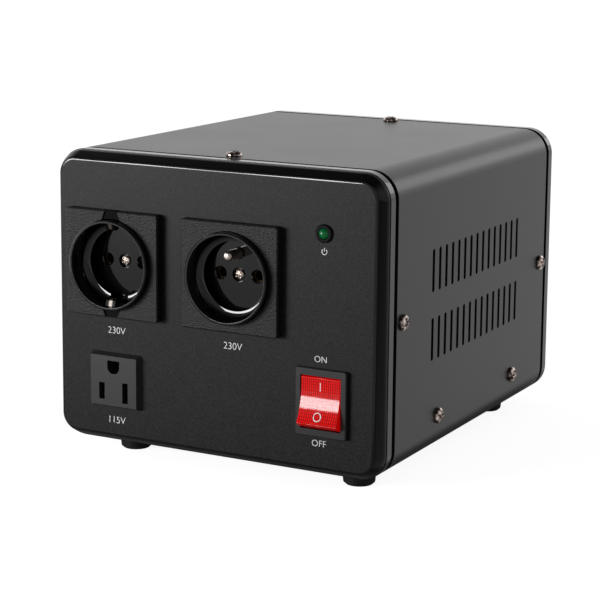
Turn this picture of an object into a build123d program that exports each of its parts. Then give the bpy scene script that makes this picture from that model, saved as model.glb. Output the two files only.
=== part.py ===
from build123d import *
import os
from math import atan2, cos, degrees, radians, sin, sqrt

# Voltage converter in a vented steel case. The front carries two round sockets, a flat-blade outlet,
# a lit rocker switch and a signal lamp. The back carries a mains inlet and a push-to-reset breaker.
# Lengths are in millimetres. +Z is up, the front panel faces -Y, and the origin lies on the table
# under the middle of the whole object.

# Case: the outline of the rims and of the cover
body_width = 172.0
body_height = 138.0
body_depth = 205.0

# Places across the case, as shares of its width from its middle
left_column_share = -0.2985
middle_column_share = 0.065
right_column_share = 0.332
rear_column_share = -0.244
left_foot_share = -0.314
right_foot_share = 0.381
stud_share = 0.36

# Cover and base
corner_radius = 13.0
cover_sheet = 1.2
base_sheet = 1.2
sheet_gap = 0.15
base_flange_height = 31.0
cover_lip_setback = 10.5
overrun = 5.0

# End frames, one moulding at the front and one at the back
face_inset = 3.7
face_corner_radius = 7.5
face_edge_radius = 1.9
bevel_depth = 5.1
band_depth = 6.3
rim_step = 0.35
rim_width = 4.4
groove_width = 3.3
neck_wall = 2.4
neck_reach = 12.0
panel_thickness = 3.0

# Cover screws and what they bite in
screw_head_radius = 3.8
screw_head_height = 2.5
screw_head_side = 1.0
screw_head_slope = 1.9
screw_shank_radius = 1.6
screw_length = 9.0
screw_gap = 0.1
boss_radius = 4.5
boss_depth = 4.0
edge_screw_inset = 6.0
mid_screw_rise = 1.1
low_screw_height = 18.5
low_screw_inset = 46.0
low_screw_spacing = 90.0

# Vents, two rows of upright slots in each side
slot_pitch = 7.18
slots_per_row = 15
slot_rows = 2
slot_length = 20.0
slot_width = 2.6
slot_corner = 0.75
row_pitch = 32.0
vent_rise = 3.0

# Feet
foot_height = 6.5
foot_top_radius = 8.0
foot_bottom_radius = 7.2
foot_edge = 1.0
foot_front_inset = 20.5
foot_rear_inset = 36.0
foot_bore_radius = 4.4
foot_bore_depth = 3.6
foot_screw_reach = 8.0
foot_screw_flats = 5.5

# Round sockets: a square plate, a deep well, and the contact base clamped behind the panel
socket_rise = 17.6
plate_size = 50.0
plate_proud = 4.5
plate_corner_radius = 1.2
plate_chamfer = 0.5
notch_wide = 10.0
notch_narrow = 6.5
notch_floor = 1.0
guard_gap = 0.15
guard_setback = 0.7
ring_radius = 21.0
ring_proud = 8.0
ring_edge = 0.4
ring_edge_angle = 45.0
well_radius = 19.7
well_draft_angle = 1.0
left_well_depth = 15.5
right_well_depth = 13.2
well_floor = 2.6
socket_gap = 0.3
pin_spacing = 19.0
pin_hole_radius = 2.7
pin_hole_chamfer = 0.5
contact_base_radius = 23.5
contact_base_wall = 2.2
contact_base_depth = 16.0
sleeve_step = 0.35
sleeve_wall = 0.6
sleeve_play = 0.1
sleeve_length = 11.0
sleeve_slit = 0.8
tab_width = 6.3
tab_thickness = 0.8
tab_reach = 8.0
tab_gap = 0.1
socket_screw_head_radius = 2.4
socket_screw_head_height = 1.8
socket_screw_shank_radius = 1.4
socket_screw_length = 10.0
socket_screw_bore_radius = 3.4
socket_screw_bore_depth = 1.5

# Earth contacts: a sprung strap in the left socket, a round pin in the right one
strap_width = 5.0
strap_sheet = 0.8
strap_slot_width = 6.2
strap_play = 0.1
strap_lip_cover = 1.4
clip_reach = 16.2
clip_lead = 1.3
clip_tail = 4.5
clip_tail_rise = 1.6
clip_bend_radius = 0.9
earth_pin_radius = 2.4
earth_pin_rise = 10.0
earth_pin_length = 11.2
earth_pin_round = 1.8
earth_pin_flange_radius = 4.2
earth_pin_flange = 1.0
earth_pin_tail = 6.0

# Flat-blade outlet
outlet_drop = 38.1
outlet_width = 27.8
outlet_height = 26.4
outlet_corner_radius = 1.2
outlet_proud = 3.3
outlet_bevel = 1.3
outlet_body_width = 24.0
outlet_body_height = 22.4
outlet_body_depth = 21.0
outlet_gap = 0.2
outlet_face = 2.5
blade_spacing = 12.8
blade_drop = 5.1
blade_slot_width = 3.0
short_blade_slot = 8.0
long_blade_slot = 9.7
ground_rise = 6.6
ground_width = 6.6
ground_height = 6.3
outlet_contact_sheet = 0.5
outlet_contact_length = 13.0
outlet_contact_play = 0.1
outlet_tab_width = 5.0

# Rocker switch
switch_drop = 34.5
switch_frame_width = 25.4
switch_frame_height = 31.0
switch_frame_proud = 2.5
switch_frame_corner = 1.0
switch_frame_chamfer = 0.4
switch_body_width = 22.0
switch_body_height = 27.4
switch_body_depth = 22.0
switch_gap = 0.2
window_width = 20.1
window_height = 24.4
window_depth = 13.5
rocker_gap = 0.3
rocker_end_proud = 4.7
rocker_dish = 1.7
rocker_pivot_depth = 1.0
rocker_back = 4.0
rocker_tilt_angle = 12.5
trunnion_radius = 1.2
trunnion_play = 0.06
trunnion_reach = 0.9
switch_tab_row_spacing = 11.0
switch_tab_spacing = 9.0
switch_tab_inner = 1.5
glow_lamp_radius = 1.7
glow_lamp_length = 9.0

# Signal lamp
lamp_rise = 41.3
lamp_collar_radius = 4.1
lamp_collar_proud = 1.2
lamp_collar_edge = 0.5
lamp_barrel_radius = 3.3
lamp_barrel_depth = 9.0
lamp_lens_radius = 2.5
lamp_lens_proud = 2.6
lamp_gap = 0.1
lamp_lead_radius = 0.3
lamp_lead_spacing = 2.54
lamp_lead_reach = 12.0

# Mains inlet at the back
inlet_drop = 36.0
inlet_width = 50.0
inlet_height = 24.0
inlet_corner_radius = 4.0
inlet_proud = 3.0
inlet_edge = 0.8
inlet_body_width = 27.6
inlet_body_height = 19.8
inlet_body_depth = 19.0
inlet_gap = 0.2
inlet_mouth_width = 24.4
inlet_mouth_height = 16.6
inlet_mouth_chamfer = 4.6
inlet_mouth_depth = 16.5
inlet_pin_spacing = 14.0
inlet_pin_offset = 4.0
inlet_pin_width = 2.0
inlet_pin_height = 4.0
inlet_pin_length = 13.5
inlet_pin_round = 0.5
inlet_screw_spacing = 40.0

# Breaker at the back
breaker_rise = 8.0
breaker_bush_radius = 5.5
breaker_bush_proud = 5.0
breaker_bush_gap = 0.2
breaker_nut_flats = 15.0
breaker_nut_thickness = 2.6
breaker_nut_gap = 0.1
breaker_body_width = 16.0
breaker_body_height = 30.0
breaker_body_depth = 26.0
breaker_button_radius = 3.2
breaker_button_gap = 0.2
breaker_button_proud = 4.0
breaker_button_edge = 0.6
breaker_travel = 4.0
breaker_foot_radius = 4.4
breaker_foot_thickness = 1.5
breaker_tab_spacing = 14.0

# Transformer
core_width = 105.0
core_height = 88.0
core_stack = 50.0
core_leg = 17.5
core_setback = 108.0
bobbin_gap = 0.3
bobbin_wall = 1.5
bobbin_flange = 1.6
winding_gap = 0.3
winding_play = 0.2
winding_corner_radius = 4.0
bracket_sheet = 2.0
bracket_height = 15.5
bracket_foot = 15.0
bracket_bend_radius = 2.5
core_bolt_radius = 2.0
core_bolt_inset = 7.5
core_bolt_flats = 7.0
core_bolt_head_height = 2.8
core_bolt_tail = 2.0
core_nut_flats = 7.0
core_nut_thickness = 3.2
bolt_gap = 0.2
bracket_screw_spacing = 70.0
bracket_screw_radius = 2.0
bracket_screw_flats = 7.0
bracket_screw_head_height = 2.6

# Protective earth stud on the base
stud_radius = 2.0
stud_rear_setback = 53.0
stud_length = 12.0
stud_nut_flats = 7.0
stud_nut_thickness = 3.2
stud_head_height = 1.0
stud_head_radius = 4.0

# Where the main faces lie
rear_reach = breaker_bush_proud + breaker_button_proud
front_y = -(body_depth + rear_reach - ring_proud) / 2
rear_y = front_y + body_depth
middle_y = (front_y + rear_y) / 2
bottom_z = foot_height
top_z = bottom_z + body_height
middle_z = (bottom_z + top_z) / 2
side_x = body_width / 2
left_socket_x = body_width * left_column_share
right_socket_x = body_width * middle_column_share
outlet_x = left_socket_x
switch_x = body_width * right_column_share
lamp_x = switch_x
inlet_x = body_width * rear_column_share
breaker_x = inlet_x
foot_left_x = body_width * left_foot_share
foot_right_x = body_width * right_foot_share
stud_x = body_width * stud_share
frame_depth = band_depth + rim_width + groove_width
cover_front_y = front_y + frame_depth
cover_rear_y = rear_y - frame_depth
cover_length = cover_rear_y - cover_front_y
neck_inset = cover_sheet + base_sheet + 2 * sheet_gap
neck_width = body_width - 2 * neck_inset
neck_height = body_height - 2 * neck_inset
neck_radius = corner_radius - neck_inset
base_inset = cover_sheet + sheet_gap
base_bottom_z = bottom_z + base_inset
base_top_z = base_bottom_z + base_sheet
mid_screw_z = middle_z + mid_screw_rise
low_screw_z = bottom_z + low_screw_height
screw_hole_radius = screw_shank_radius + screw_gap


def front_at(x, rise):
    """Plane on the front panel, facing out, with its local Y upright."""
    return Plane(origin=(x, front_y, middle_z + rise), x_dir=(1, 0, 0), z_dir=(0, -1, 0))


def rear_at(x, rise):
    """Plane on the rear panel, facing out, with its local Y upright."""
    return Plane(origin=(x, rear_y, middle_z + rise), x_dir=(-1, 0, 0), z_dir=(0, 1, 0))


def right_at(y, z):
    """Plane on the right side of the cover, facing out."""
    return Plane(origin=(side_x, y, z), x_dir=(0, 1, 0), z_dir=(1, 0, 0))


def left_at(y, z):
    """Plane on the left side of the cover, facing out."""
    return Plane(origin=(-side_x, y, z), x_dir=(0, -1, 0), z_dir=(-1, 0, 0))


def top_at(y):
    """Plane on top of the cover, over its middle line, facing up."""
    return Plane(origin=(0, y, top_z), x_dir=(1, 0, 0), z_dir=(0, 0, 1))


def upright_at(x, y, z):
    """Level plane facing up."""
    return Plane(origin=(x, y, z), x_dir=(1, 0, 0), z_dir=(0, 0, 1))


def hanging_at(x, y, z):
    """Level plane facing down."""
    return Plane(origin=(x, y, z), x_dir=(1, 0, 0), z_dir=(0, 0, -1))


edge_screw_front_y = cover_front_y + edge_screw_inset
edge_screw_rear_y = cover_rear_y - edge_screw_inset
low_screw_front_y = cover_front_y + low_screw_inset
low_screw_rear_y = low_screw_front_y + low_screw_spacing
front_edge_seats = [
    top_at(edge_screw_front_y),
    right_at(edge_screw_front_y, mid_screw_z),
    left_at(edge_screw_front_y, mid_screw_z),
]
rear_edge_seats = [
    top_at(edge_screw_rear_y),
    right_at(edge_screw_rear_y, mid_screw_z),
    left_at(edge_screw_rear_y, mid_screw_z),
]
low_seats = [
    right_at(low_screw_front_y, low_screw_z),
    right_at(low_screw_rear_y, low_screw_z),
    left_at(low_screw_front_y, low_screw_z),
    left_at(low_screw_rear_y, low_screw_z),
]

foot_places = {
    "foot_front_left": (foot_left_x, front_y + foot_front_inset),
    "foot_front_right": (foot_right_x, front_y + foot_front_inset),
    "foot_rear_left": (foot_left_x, rear_y - foot_rear_inset),
    "foot_rear_right": (foot_right_x, rear_y - foot_rear_inset),
}

core_y = front_y + core_setback
bracket_y_front = core_y - core_stack / 2
bracket_y_rear = core_y + core_stack / 2
bracket_screw_out = bracket_sheet + (bracket_foot - bracket_sheet) / 2
bracket_screw_places = [
    (x, y)
    for x in (-bracket_screw_spacing / 2, bracket_screw_spacing / 2)
    for y in (bracket_y_front - bracket_screw_out, bracket_y_rear + bracket_screw_out)
]
stud_y = rear_y - stud_rear_setback

os.makedirs("parts", exist_ok=True)
made = []


def keep(piece, name):
    """Names a finished piece, measures it and writes its file."""
    piece.label = name
    export_step(piece, f"parts/{name}.step")
    made.append(name)
    print(f"{name}: {len(piece.solids())} solid(s), {piece.volume / 1000:.2f} cm3")


def pan_screw(head_radius, head_height, head_side, head_round, shank_radius, length):
    """Pan-head screw, standing head up with its seat at the origin."""
    with BuildPart() as screw:
        Cylinder(head_radius, head_height, align=(Align.CENTER, Align.CENTER, Align.MIN))
        chamfer(screw.edges().sort_by(Axis.Z)[-1], head_height - head_side, head_round)
        with BuildSketch():
            Circle(shank_radius)
        extrude(amount=-length)
    return screw.part


def hexagon_screw(flats, head_height, shank_radius, length):
    """Hexagon-head screw, standing head up with its seat at the origin."""
    with BuildPart() as screw:
        with BuildSketch():
            RegularPolygon(flats / 2, 6, major_radius=False)
        extrude(amount=head_height)
        with BuildSketch():
            Circle(shank_radius)
        extrude(amount=-length)
    return screw.part


# End frames
def end_frame(face, seats):
    """Moulded frame: face, tapering band, rim, and the neck that the cover slides over."""
    neck_start = band_depth + rim_width
    neck_end = frame_depth + neck_reach
    with BuildPart() as frame:
        with BuildSketch(face):
            RectangleRounded(
                body_width - 2 * face_inset, body_height - 2 * face_inset, face_corner_radius
            )
        with BuildSketch(face.offset(-bevel_depth)):
            RectangleRounded(
                body_width - 2 * rim_step, body_height - 2 * rim_step, corner_radius - rim_step
            )
        loft()
        front = frame.faces().sort_by(Axis(face.origin, face.z_dir))[-1]
        fillet(front.outer_wire().edges(), face_edge_radius)
        with BuildSketch(face.offset(-bevel_depth)):
            RectangleRounded(
                body_width - 2 * rim_step, body_height - 2 * rim_step, corner_radius - rim_step
            )
        extrude(amount=bevel_depth - band_depth)
        with BuildSketch(face.offset(-band_depth)):
            RectangleRounded(body_width, body_height, corner_radius)
        extrude(amount=-rim_width)
        with BuildSketch(face.offset(-neck_start)):
            RectangleRounded(neck_width, neck_height, neck_radius)
        extrude(amount=neck_start - neck_end)
        with BuildSketch(face.offset(-panel_thickness)):
            RectangleRounded(
                neck_width - 2 * neck_wall, neck_height - 2 * neck_wall, neck_radius - neck_wall
            )
        extrude(amount=panel_thickness - neck_end - overrun, mode=Mode.SUBTRACT)
        for seat in seats:
            with BuildSketch(seat.offset(-cover_sheet)):
                Circle(boss_radius)
            extrude(amount=cover_sheet - neck_inset - neck_wall - boss_depth)
        with Locations(*seats):
            Hole(screw_hole_radius, depth=screw_length + overrun)
    return frame.part


front_blank = end_frame(front_at(0, 0), front_edge_seats)
rear_blank = end_frame(rear_at(0, 0), rear_edge_seats)

with BuildPart() as front_bezel:
    add(front_blank)
    with BuildSketch(front_at(0, 0)):
        with Locations((left_socket_x, socket_rise), (right_socket_x, socket_rise)):
            Circle(ring_radius + socket_gap)
        with Locations((outlet_x, -outlet_drop)):
            Rectangle(outlet_body_width + 2 * outlet_gap, outlet_body_height + 2 * outlet_gap)
        with Locations((switch_x, -switch_drop)):
            Rectangle(switch_body_width + 2 * switch_gap, switch_body_height + 2 * switch_gap)
        with Locations((lamp_x, lamp_rise)):
            Circle(lamp_barrel_radius + lamp_gap)
    extrude(amount=-panel_thickness - overrun, mode=Mode.SUBTRACT)
    front_foot_y = front_y + foot_front_inset
    with Locations(*[hanging_at(x, front_foot_y, base_bottom_z) for x in (foot_left_x, foot_right_x)]):
        Hole(screw_hole_radius, depth=base_sheet + neck_wall + overrun)
keep(front_bezel.part, "front_bezel")

with BuildPart() as rear_bezel:
    add(rear_blank)
    with BuildSketch(rear_at(0, 0)):
        with Locations((-inlet_x, -inlet_drop)):
            Rectangle(inlet_body_width + 2 * inlet_gap, inlet_body_height + 2 * inlet_gap)
            with Locations((-inlet_screw_spacing / 2, 0), (inlet_screw_spacing / 2, 0)):
                Circle(screw_hole_radius)
        with Locations((-breaker_x, breaker_rise)):
            Circle(breaker_bush_radius + breaker_bush_gap)
    extrude(amount=-panel_thickness - overrun, mode=Mode.SUBTRACT)
keep(rear_bezel.part, "rear_bezel")

# Cover: one folded sheet over the top and both sides, with its lower edges turned in
with BuildPart() as cover:
    with BuildSketch(Plane(origin=(0, cover_front_y, middle_z), x_dir=(1, 0, 0), z_dir=(0, -1, 0))):
        RectangleRounded(body_width, body_height, corner_radius)
        RectangleRounded(
            body_width - 2 * cover_sheet,
            body_height - 2 * cover_sheet,
            corner_radius - cover_sheet,
            mode=Mode.SUBTRACT,
        )
        with Locations((0, -body_height / 2)):
            Rectangle(body_width - 2 * cover_lip_setback, 2 * corner_radius, mode=Mode.SUBTRACT)
    extrude(amount=-cover_length)
    with BuildSketch(
        Plane(origin=(0, middle_y, middle_z + vent_rise), x_dir=(0, 1, 0), z_dir=(1, 0, 0))
    ) as vents:
        with GridLocations(slot_pitch, row_pitch, slots_per_row, slot_rows):
            Rectangle(slot_width, slot_length)
        chamfer(vents.vertices(), slot_corner)
    extrude(amount=body_width, both=True, mode=Mode.SUBTRACT)
    with Locations(*front_edge_seats, *rear_edge_seats, *low_seats):
        Hole(screw_hole_radius, depth=cover_sheet + sheet_gap)
keep(cover.part, "cover")

# Base: a tray whose flanges rise inside the cover
with BuildPart() as base_plate:
    with BuildSketch(Plane(origin=(0, cover_front_y, middle_z), x_dir=(1, 0, 0), z_dir=(0, -1, 0))):
        RectangleRounded(
            body_width - 2 * base_inset, body_height - 2 * base_inset, corner_radius - base_inset
        )
        inner_inset = base_inset + base_sheet
        RectangleRounded(
            body_width - 2 * inner_inset,
            body_height - 2 * inner_inset,
            corner_radius - inner_inset,
            mode=Mode.SUBTRACT,
        )
        with Locations((0, base_flange_height)):
            Rectangle(body_width, body_height, mode=Mode.SUBTRACT)
    extrude(amount=-cover_length)
    with Locations(*low_seats):
        Hole(screw_hole_radius, depth=base_inset + base_sheet + overrun)
    with Locations(*[upright_at(x, y, base_top_z) for x, y in foot_places.values()]):
        Hole(screw_hole_radius)
    with Locations(*[upright_at(x, y, base_top_z) for x, y in bracket_screw_places]):
        Hole(bracket_screw_radius + bolt_gap)
    with Locations(upright_at(stud_x, stud_y, base_top_z)):
        Hole(stud_radius + bolt_gap)
keep(base_plate.part, "base_plate")

# Feet
foot_length = base_bottom_z
for name, (x, y) in foot_places.items():
    with BuildPart(hanging_at(x, y, base_bottom_z)) as foot:
        Cone(
            foot_top_radius,
            foot_bottom_radius,
            foot_length,
            align=(Align.CENTER, Align.CENTER, Align.MIN),
        )
        chamfer(foot.edges().sort_by(Axis.Z)[0], foot_edge)
        with Locations((0, 0, foot_length)):
            CounterBoreHole(screw_hole_radius, foot_bore_radius, foot_bore_depth)
    keep(foot.part, name)

foot_screw = hexagon_screw(
    foot_screw_flats, screw_head_height, screw_shank_radius, foot_screw_reach
)
with BuildPart() as foot_screws:
    with Locations(*[hanging_at(x, y, foot_bore_depth) for x, y in foot_places.values()]):
        add(foot_screw)
keep(foot_screws.part, "foot_screws")

# Cover screws, one group for the top and one for each side
cover_screw = pan_screw(
    screw_head_radius,
    screw_head_height,
    screw_head_side,
    screw_head_slope,
    screw_shank_radius,
    screw_length,
)
screw_groups = {
    "top_cover_screws": [front_edge_seats[0], rear_edge_seats[0]],
    "right_cover_screws": [front_edge_seats[1], rear_edge_seats[1], low_seats[0], low_seats[1]],
    "left_cover_screws": [front_edge_seats[2], rear_edge_seats[2], low_seats[2], low_seats[3]],
}
for name, seats in screw_groups.items():
    with BuildPart() as cover_screws:
        with Locations(*seats):
            add(cover_screw)
    keep(cover_screws.part, name)


# Round sockets
def side_section(x, rise):
    """Upright plane through a socket's middle: local X runs into the case, local Y runs up."""
    return Plane(origin=(x, front_y, middle_z + rise), x_dir=(0, 1, 0), z_dir=(1, 0, 0))


def clip_notches(margin):
    """Outlines of the notches above and below a ring, drawn smaller by a margin at each side."""
    wide = notch_wide / 2 - margin
    narrow = notch_narrow / 2 - margin
    edge = plate_size / 2
    with BuildSketch() as notches:
        for way in (-1, 1):
            with BuildLine():
                Polyline(
                    (-wide, 0),
                    (-wide, way * ring_radius),
                    (-narrow, way * edge),
                    (-narrow, way * (edge + overrun)),
                    (narrow, way * (edge + overrun)),
                    (narrow, way * edge),
                    (wide, way * ring_radius),
                    (wide, 0),
                    close=True,
                )
            make_face()
    return notches.sketch


def socket_plate(x, notched):
    """Square front plate, with a notch above and below the well where an earth clip sits."""
    face = front_at(x, socket_rise)
    with BuildPart() as plate:
        with BuildSketch(face):
            RectangleRounded(plate_size, plate_size, plate_corner_radius)
            Circle(ring_radius + socket_gap, mode=Mode.SUBTRACT)
        extrude(amount=plate_proud)
        rim = plate.faces().sort_by(Axis.Y)[0].outer_wire().edges()
        chamfer(rim, plate_chamfer)
        if notched:
            with BuildSketch(face.offset(notch_floor)):
                add(clip_notches(0))
            extrude(amount=plate_proud, mode=Mode.SUBTRACT)
    return plate.part


def clip_guards(x):
    """Blocks that fill the notches of the plate, with the ring's outside cut from them."""
    face = front_at(x, socket_rise)
    with BuildPart() as guards:
        with BuildSketch(face.offset(notch_floor)):
            add(clip_notches(guard_gap))
            Rectangle(plate_size, plate_size, mode=Mode.INTERSECT)
            Circle(ring_radius + socket_gap, mode=Mode.SUBTRACT)
        extrude(amount=plate_proud - notch_floor - guard_setback)
    return guards.part


def socket_well(x, depth, clipped):
    """Round cup with a proud lip, pin holes, a sunk screw seat, and a clip slot or a pin hole."""
    mouth = front_at(x, socket_rise).offset(ring_proud)
    with BuildPart() as well:
        with BuildSketch(mouth):
            Circle(ring_radius)
        extrude(amount=-(depth + well_floor))
        chamfer(well.faces().sort_by(Axis.Y)[0].edges(), ring_edge)
        with BuildSketch(mouth):
            Circle(well_radius)
        extrude(amount=-depth, taper=well_draft_angle, mode=Mode.SUBTRACT)
        with BuildSketch(mouth):
            Circle(well_radius + ring_edge)
        extrude(amount=-ring_edge, taper=ring_edge_angle, mode=Mode.SUBTRACT)
        with BuildSketch(mouth.offset(-depth)):
            with Locations((-pin_spacing / 2, 0), (pin_spacing / 2, 0)):
                Circle(pin_hole_radius)
            Circle(socket_screw_shank_radius + screw_gap)
            if not clipped:
                with Locations((0, earth_pin_rise)):
                    Circle(earth_pin_radius + screw_gap)
        extrude(amount=-well_floor - overrun, mode=Mode.SUBTRACT)
        rims = well.edges().filter_by(GeomType.CIRCLE)
        rims = rims.filter_by(lambda edge: abs(edge.radius - pin_hole_radius) < pin_hole_chamfer / 2)
        chamfer(rims.group_by(Axis.Y)[0], pin_hole_chamfer)
        with BuildSketch(mouth.offset(-depth)):
            Circle(socket_screw_bore_radius)
        extrude(amount=-socket_screw_bore_depth, mode=Mode.SUBTRACT)
        if clipped:
            with BuildSketch(mouth.offset(-strap_lip_cover - ring_edge)):
                for way in (-1, 1):
                    with Locations((0, way * (ring_radius + well_radius) / 2)):
                        Rectangle(strap_slot_width, ring_radius - well_radius + 2 * strap_sheet)
            extrude(amount=-(depth + well_floor), mode=Mode.SUBTRACT)
    return well.part


def contact_base(x, depth, clipped):
    """Moulded block behind the panel that clamps the well and holds the contacts."""
    back = depth - ring_proud + well_floor
    seat = front_at(x, socket_rise).offset(-panel_thickness)
    floor = front_at(x, socket_rise).offset(-back)
    with BuildPart() as block:
        with BuildSketch(seat):
            Circle(contact_base_radius)
        extrude(amount=-(back - panel_thickness + contact_base_depth))
        with BuildSketch(seat):
            Circle(contact_base_radius - contact_base_wall)
        extrude(amount=-(back - panel_thickness), mode=Mode.SUBTRACT)
        with BuildSketch(floor):
            with Locations((-pin_spacing / 2, 0), (pin_spacing / 2, 0)):
                Circle(pin_hole_radius - sleeve_step + sleeve_wall + sleeve_play)
        extrude(amount=-(sleeve_length + sleeve_play), mode=Mode.SUBTRACT)
        with BuildSketch(floor):
            with Locations((-pin_spacing / 2, 0), (pin_spacing / 2, 0)):
                Rectangle(tab_thickness + 2 * tab_gap, tab_width + 2 * tab_gap)
            Circle(socket_screw_shank_radius + screw_gap)
        extrude(amount=-contact_base_depth, mode=Mode.SUBTRACT)
        if clipped:
            with BuildSketch(floor):
                Rectangle(strap_width + 2 * strap_play, 2 * contact_base_radius)
            extrude(amount=-(strap_sheet + strap_play), mode=Mode.SUBTRACT)
        else:
            with BuildSketch(floor):
                with Locations((0, earth_pin_rise)):
                    Circle(earth_pin_flange_radius + screw_gap)
            extrude(amount=-(earth_pin_flange + screw_gap), mode=Mode.SUBTRACT)
            with BuildSketch(floor):
                with Locations((0, earth_pin_rise)):
                    Circle(earth_pin_radius + screw_gap)
            extrude(amount=-(earth_pin_flange + earth_pin_tail + screw_gap), mode=Mode.SUBTRACT)
    return block.part


def contact_sleeves(x, depth):
    """Two split tubes that grip the plug's pins, each with a tail tab through the block."""
    back = depth - ring_proud + well_floor
    floor = front_at(x, socket_rise).offset(-back)
    bore = pin_hole_radius - sleeve_step
    with BuildPart() as sleeves:
        with BuildSketch(floor):
            with Locations((-pin_spacing / 2, 0), (pin_spacing / 2, 0)):
                Circle(bore + sleeve_wall)
        extrude(amount=-sleeve_length)
        with BuildSketch(floor):
            with Locations((-pin_spacing / 2, 0), (pin_spacing / 2, 0)):
                Circle(bore)
                Rectangle(sleeve_slit, 2 * (bore + 2 * sleeve_wall))
        extrude(amount=-(sleeve_length - sleeve_wall), mode=Mode.SUBTRACT)
        with BuildSketch(floor.offset(-sleeve_length + sleeve_wall)):
            with Locations((-pin_spacing / 2, 0), (pin_spacing / 2, 0)):
                Rectangle(tab_thickness, tab_width)
        extrude(amount=-(contact_base_depth - sleeve_length + sleeve_wall + tab_reach))
    return sleeves.part


def socket_screw(x, depth):
    """Screw in the middle of the well's floor."""
    seat = front_at(x, socket_rise).offset(ring_proud - depth - socket_screw_bore_depth)
    screw = pan_screw(
        socket_screw_head_radius,
        socket_screw_head_height,
        socket_screw_head_height / 2,
        socket_screw_head_radius / 3,
        socket_screw_shank_radius,
        socket_screw_length,
    )
    with BuildPart() as fixing:
        with Locations(seat):
            add(screw)
    return fixing.part


left_plate = socket_plate(left_socket_x, True)
right_plate = socket_plate(right_socket_x, False)
keep(left_plate, "left_socket_plate")
keep(right_plate, "right_socket_plate")
keep(clip_guards(left_socket_x), "left_clip_guards")
keep(socket_well(left_socket_x, left_well_depth, True), "left_socket_well")
keep(socket_well(right_socket_x, right_well_depth, False), "right_socket_well")
keep(contact_base(left_socket_x, left_well_depth, True), "left_contact_base")
keep(contact_base(right_socket_x, right_well_depth, False), "right_contact_base")
keep(contact_sleeves(left_socket_x, left_well_depth), "left_contact_sleeves")
keep(contact_sleeves(right_socket_x, right_well_depth), "right_contact_sleeves")
keep(socket_screw(left_socket_x, left_well_depth), "left_socket_screw")
keep(socket_screw(right_socket_x, right_well_depth), "right_socket_screw")

# Earth strap: flat behind the well's floor, up through the wall slots, with a sprung hook at each end
strap_back = left_well_depth - ring_proud + well_floor + strap_play + strap_sheet / 2
strap_top = (ring_radius + well_radius) / 2
clip_front = -ring_proud + strap_lip_cover + ring_edge + strap_play + strap_sheet
with BuildPart() as earth_strap:
    with BuildSketch(side_section(left_socket_x, socket_rise)):
        for way in (-1, 1):
            with BuildLine():
                route = FilletPolyline(
                    (strap_back, 0),
                    (strap_back, way * strap_top),
                    (clip_front, way * strap_top),
                    (clip_front + clip_lead, way * clip_reach),
                    (clip_front + clip_lead + clip_tail, way * (clip_reach + clip_tail_rise)),
                    radius=clip_bend_radius,
                )
            trace(route, line_width=strap_sheet)
    extrude(amount=strap_width / 2, both=True)
    strap_seat = front_at(left_socket_x, socket_rise).offset(-strap_back + strap_sheet / 2)
    with Locations(strap_seat):
        Hole(socket_screw_shank_radius + screw_gap, depth=strap_sheet + strap_play)
keep(earth_strap.part, "left_earth_strap")

# Earth pin: a round-nosed pin with its flange under the well's floor
pin_foot = front_at(right_socket_x, socket_rise).offset(ring_proud - right_well_depth)
with BuildPart() as earth_pin:
    with BuildSketch(pin_foot):
        with Locations((0, earth_pin_rise)):
            Circle(earth_pin_radius)
    extrude(amount=earth_pin_length)
    nose = earth_pin.faces().sort_by(Axis.Y)[0]
    fillet(nose.edges(), earth_pin_round)
    with BuildSketch(pin_foot):
        with Locations((0, earth_pin_rise)):
            Circle(earth_pin_radius)
    extrude(amount=-(well_floor + earth_pin_flange + earth_pin_tail))
    with BuildSketch(pin_foot.offset(-well_floor)):
        with Locations((0, earth_pin_rise)):
            Circle(earth_pin_flange_radius)
    extrude(amount=-earth_pin_flange)
keep(earth_pin.part, "right_earth_pin")

# Flat-blade outlet
outlet_front = front_at(outlet_x, -outlet_drop)
outlet_mouth = outlet_front.offset(outlet_proud)
contact_room = outlet_contact_sheet + outlet_contact_play
contact_places = [(-blade_spacing / 2, -blade_drop), (blade_spacing / 2, -blade_drop), (0, ground_rise)]
contact_sizes = [
    (blade_slot_width, short_blade_slot),
    (blade_slot_width, long_blade_slot),
    (ground_width, ground_height),
]


def contact_outlines(grow):
    """Rectangles round the three holes, grown by a margin all round."""
    for place, (width, height) in zip(contact_places, contact_sizes):
        with Locations(place):
            Rectangle(width + 2 * grow, height + 2 * grow)


with BuildPart() as outlet_body:
    with BuildSketch(outlet_front):
        RectangleRounded(outlet_width, outlet_height, outlet_corner_radius)
    extrude(amount=outlet_proud, taper=degrees(atan2(outlet_bevel, outlet_proud)))
    with BuildSketch(outlet_front):
        Rectangle(outlet_body_width, outlet_body_height)
    extrude(amount=-outlet_body_depth)
    with BuildSketch(outlet_mouth):
        for place, size in zip(contact_places[:2], contact_sizes[:2]):
            with Locations(place):
                Rectangle(*size)
        with BuildLine():
            hole_top = ground_rise + ground_height / 2
            hole_bottom = ground_rise - ground_height / 2
            spring = hole_bottom + ground_width / 2
            Polyline(
                (-ground_width / 2, spring),
                (-ground_width / 2, hole_top),
                (ground_width / 2, hole_top),
                (ground_width / 2, spring),
            )
            ThreePointArc((ground_width / 2, spring), (0, hole_bottom), (-ground_width / 2, spring))
        make_face()
    extrude(amount=-outlet_proud - outlet_face, mode=Mode.SUBTRACT)
    with BuildSketch(outlet_front.offset(-outlet_face)):
        contact_outlines(contact_room)
    extrude(amount=-outlet_contact_length - outlet_contact_play, mode=Mode.SUBTRACT)
    with BuildSketch(outlet_front.offset(-outlet_body_depth)):
        with Locations(*contact_places):
            Rectangle(tab_thickness + 2 * tab_gap, outlet_tab_width + 2 * tab_gap)
    extrude(amount=outlet_body_depth - outlet_face - outlet_contact_length, mode=Mode.SUBTRACT)
keep(outlet_body.part, "outlet_body")

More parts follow.
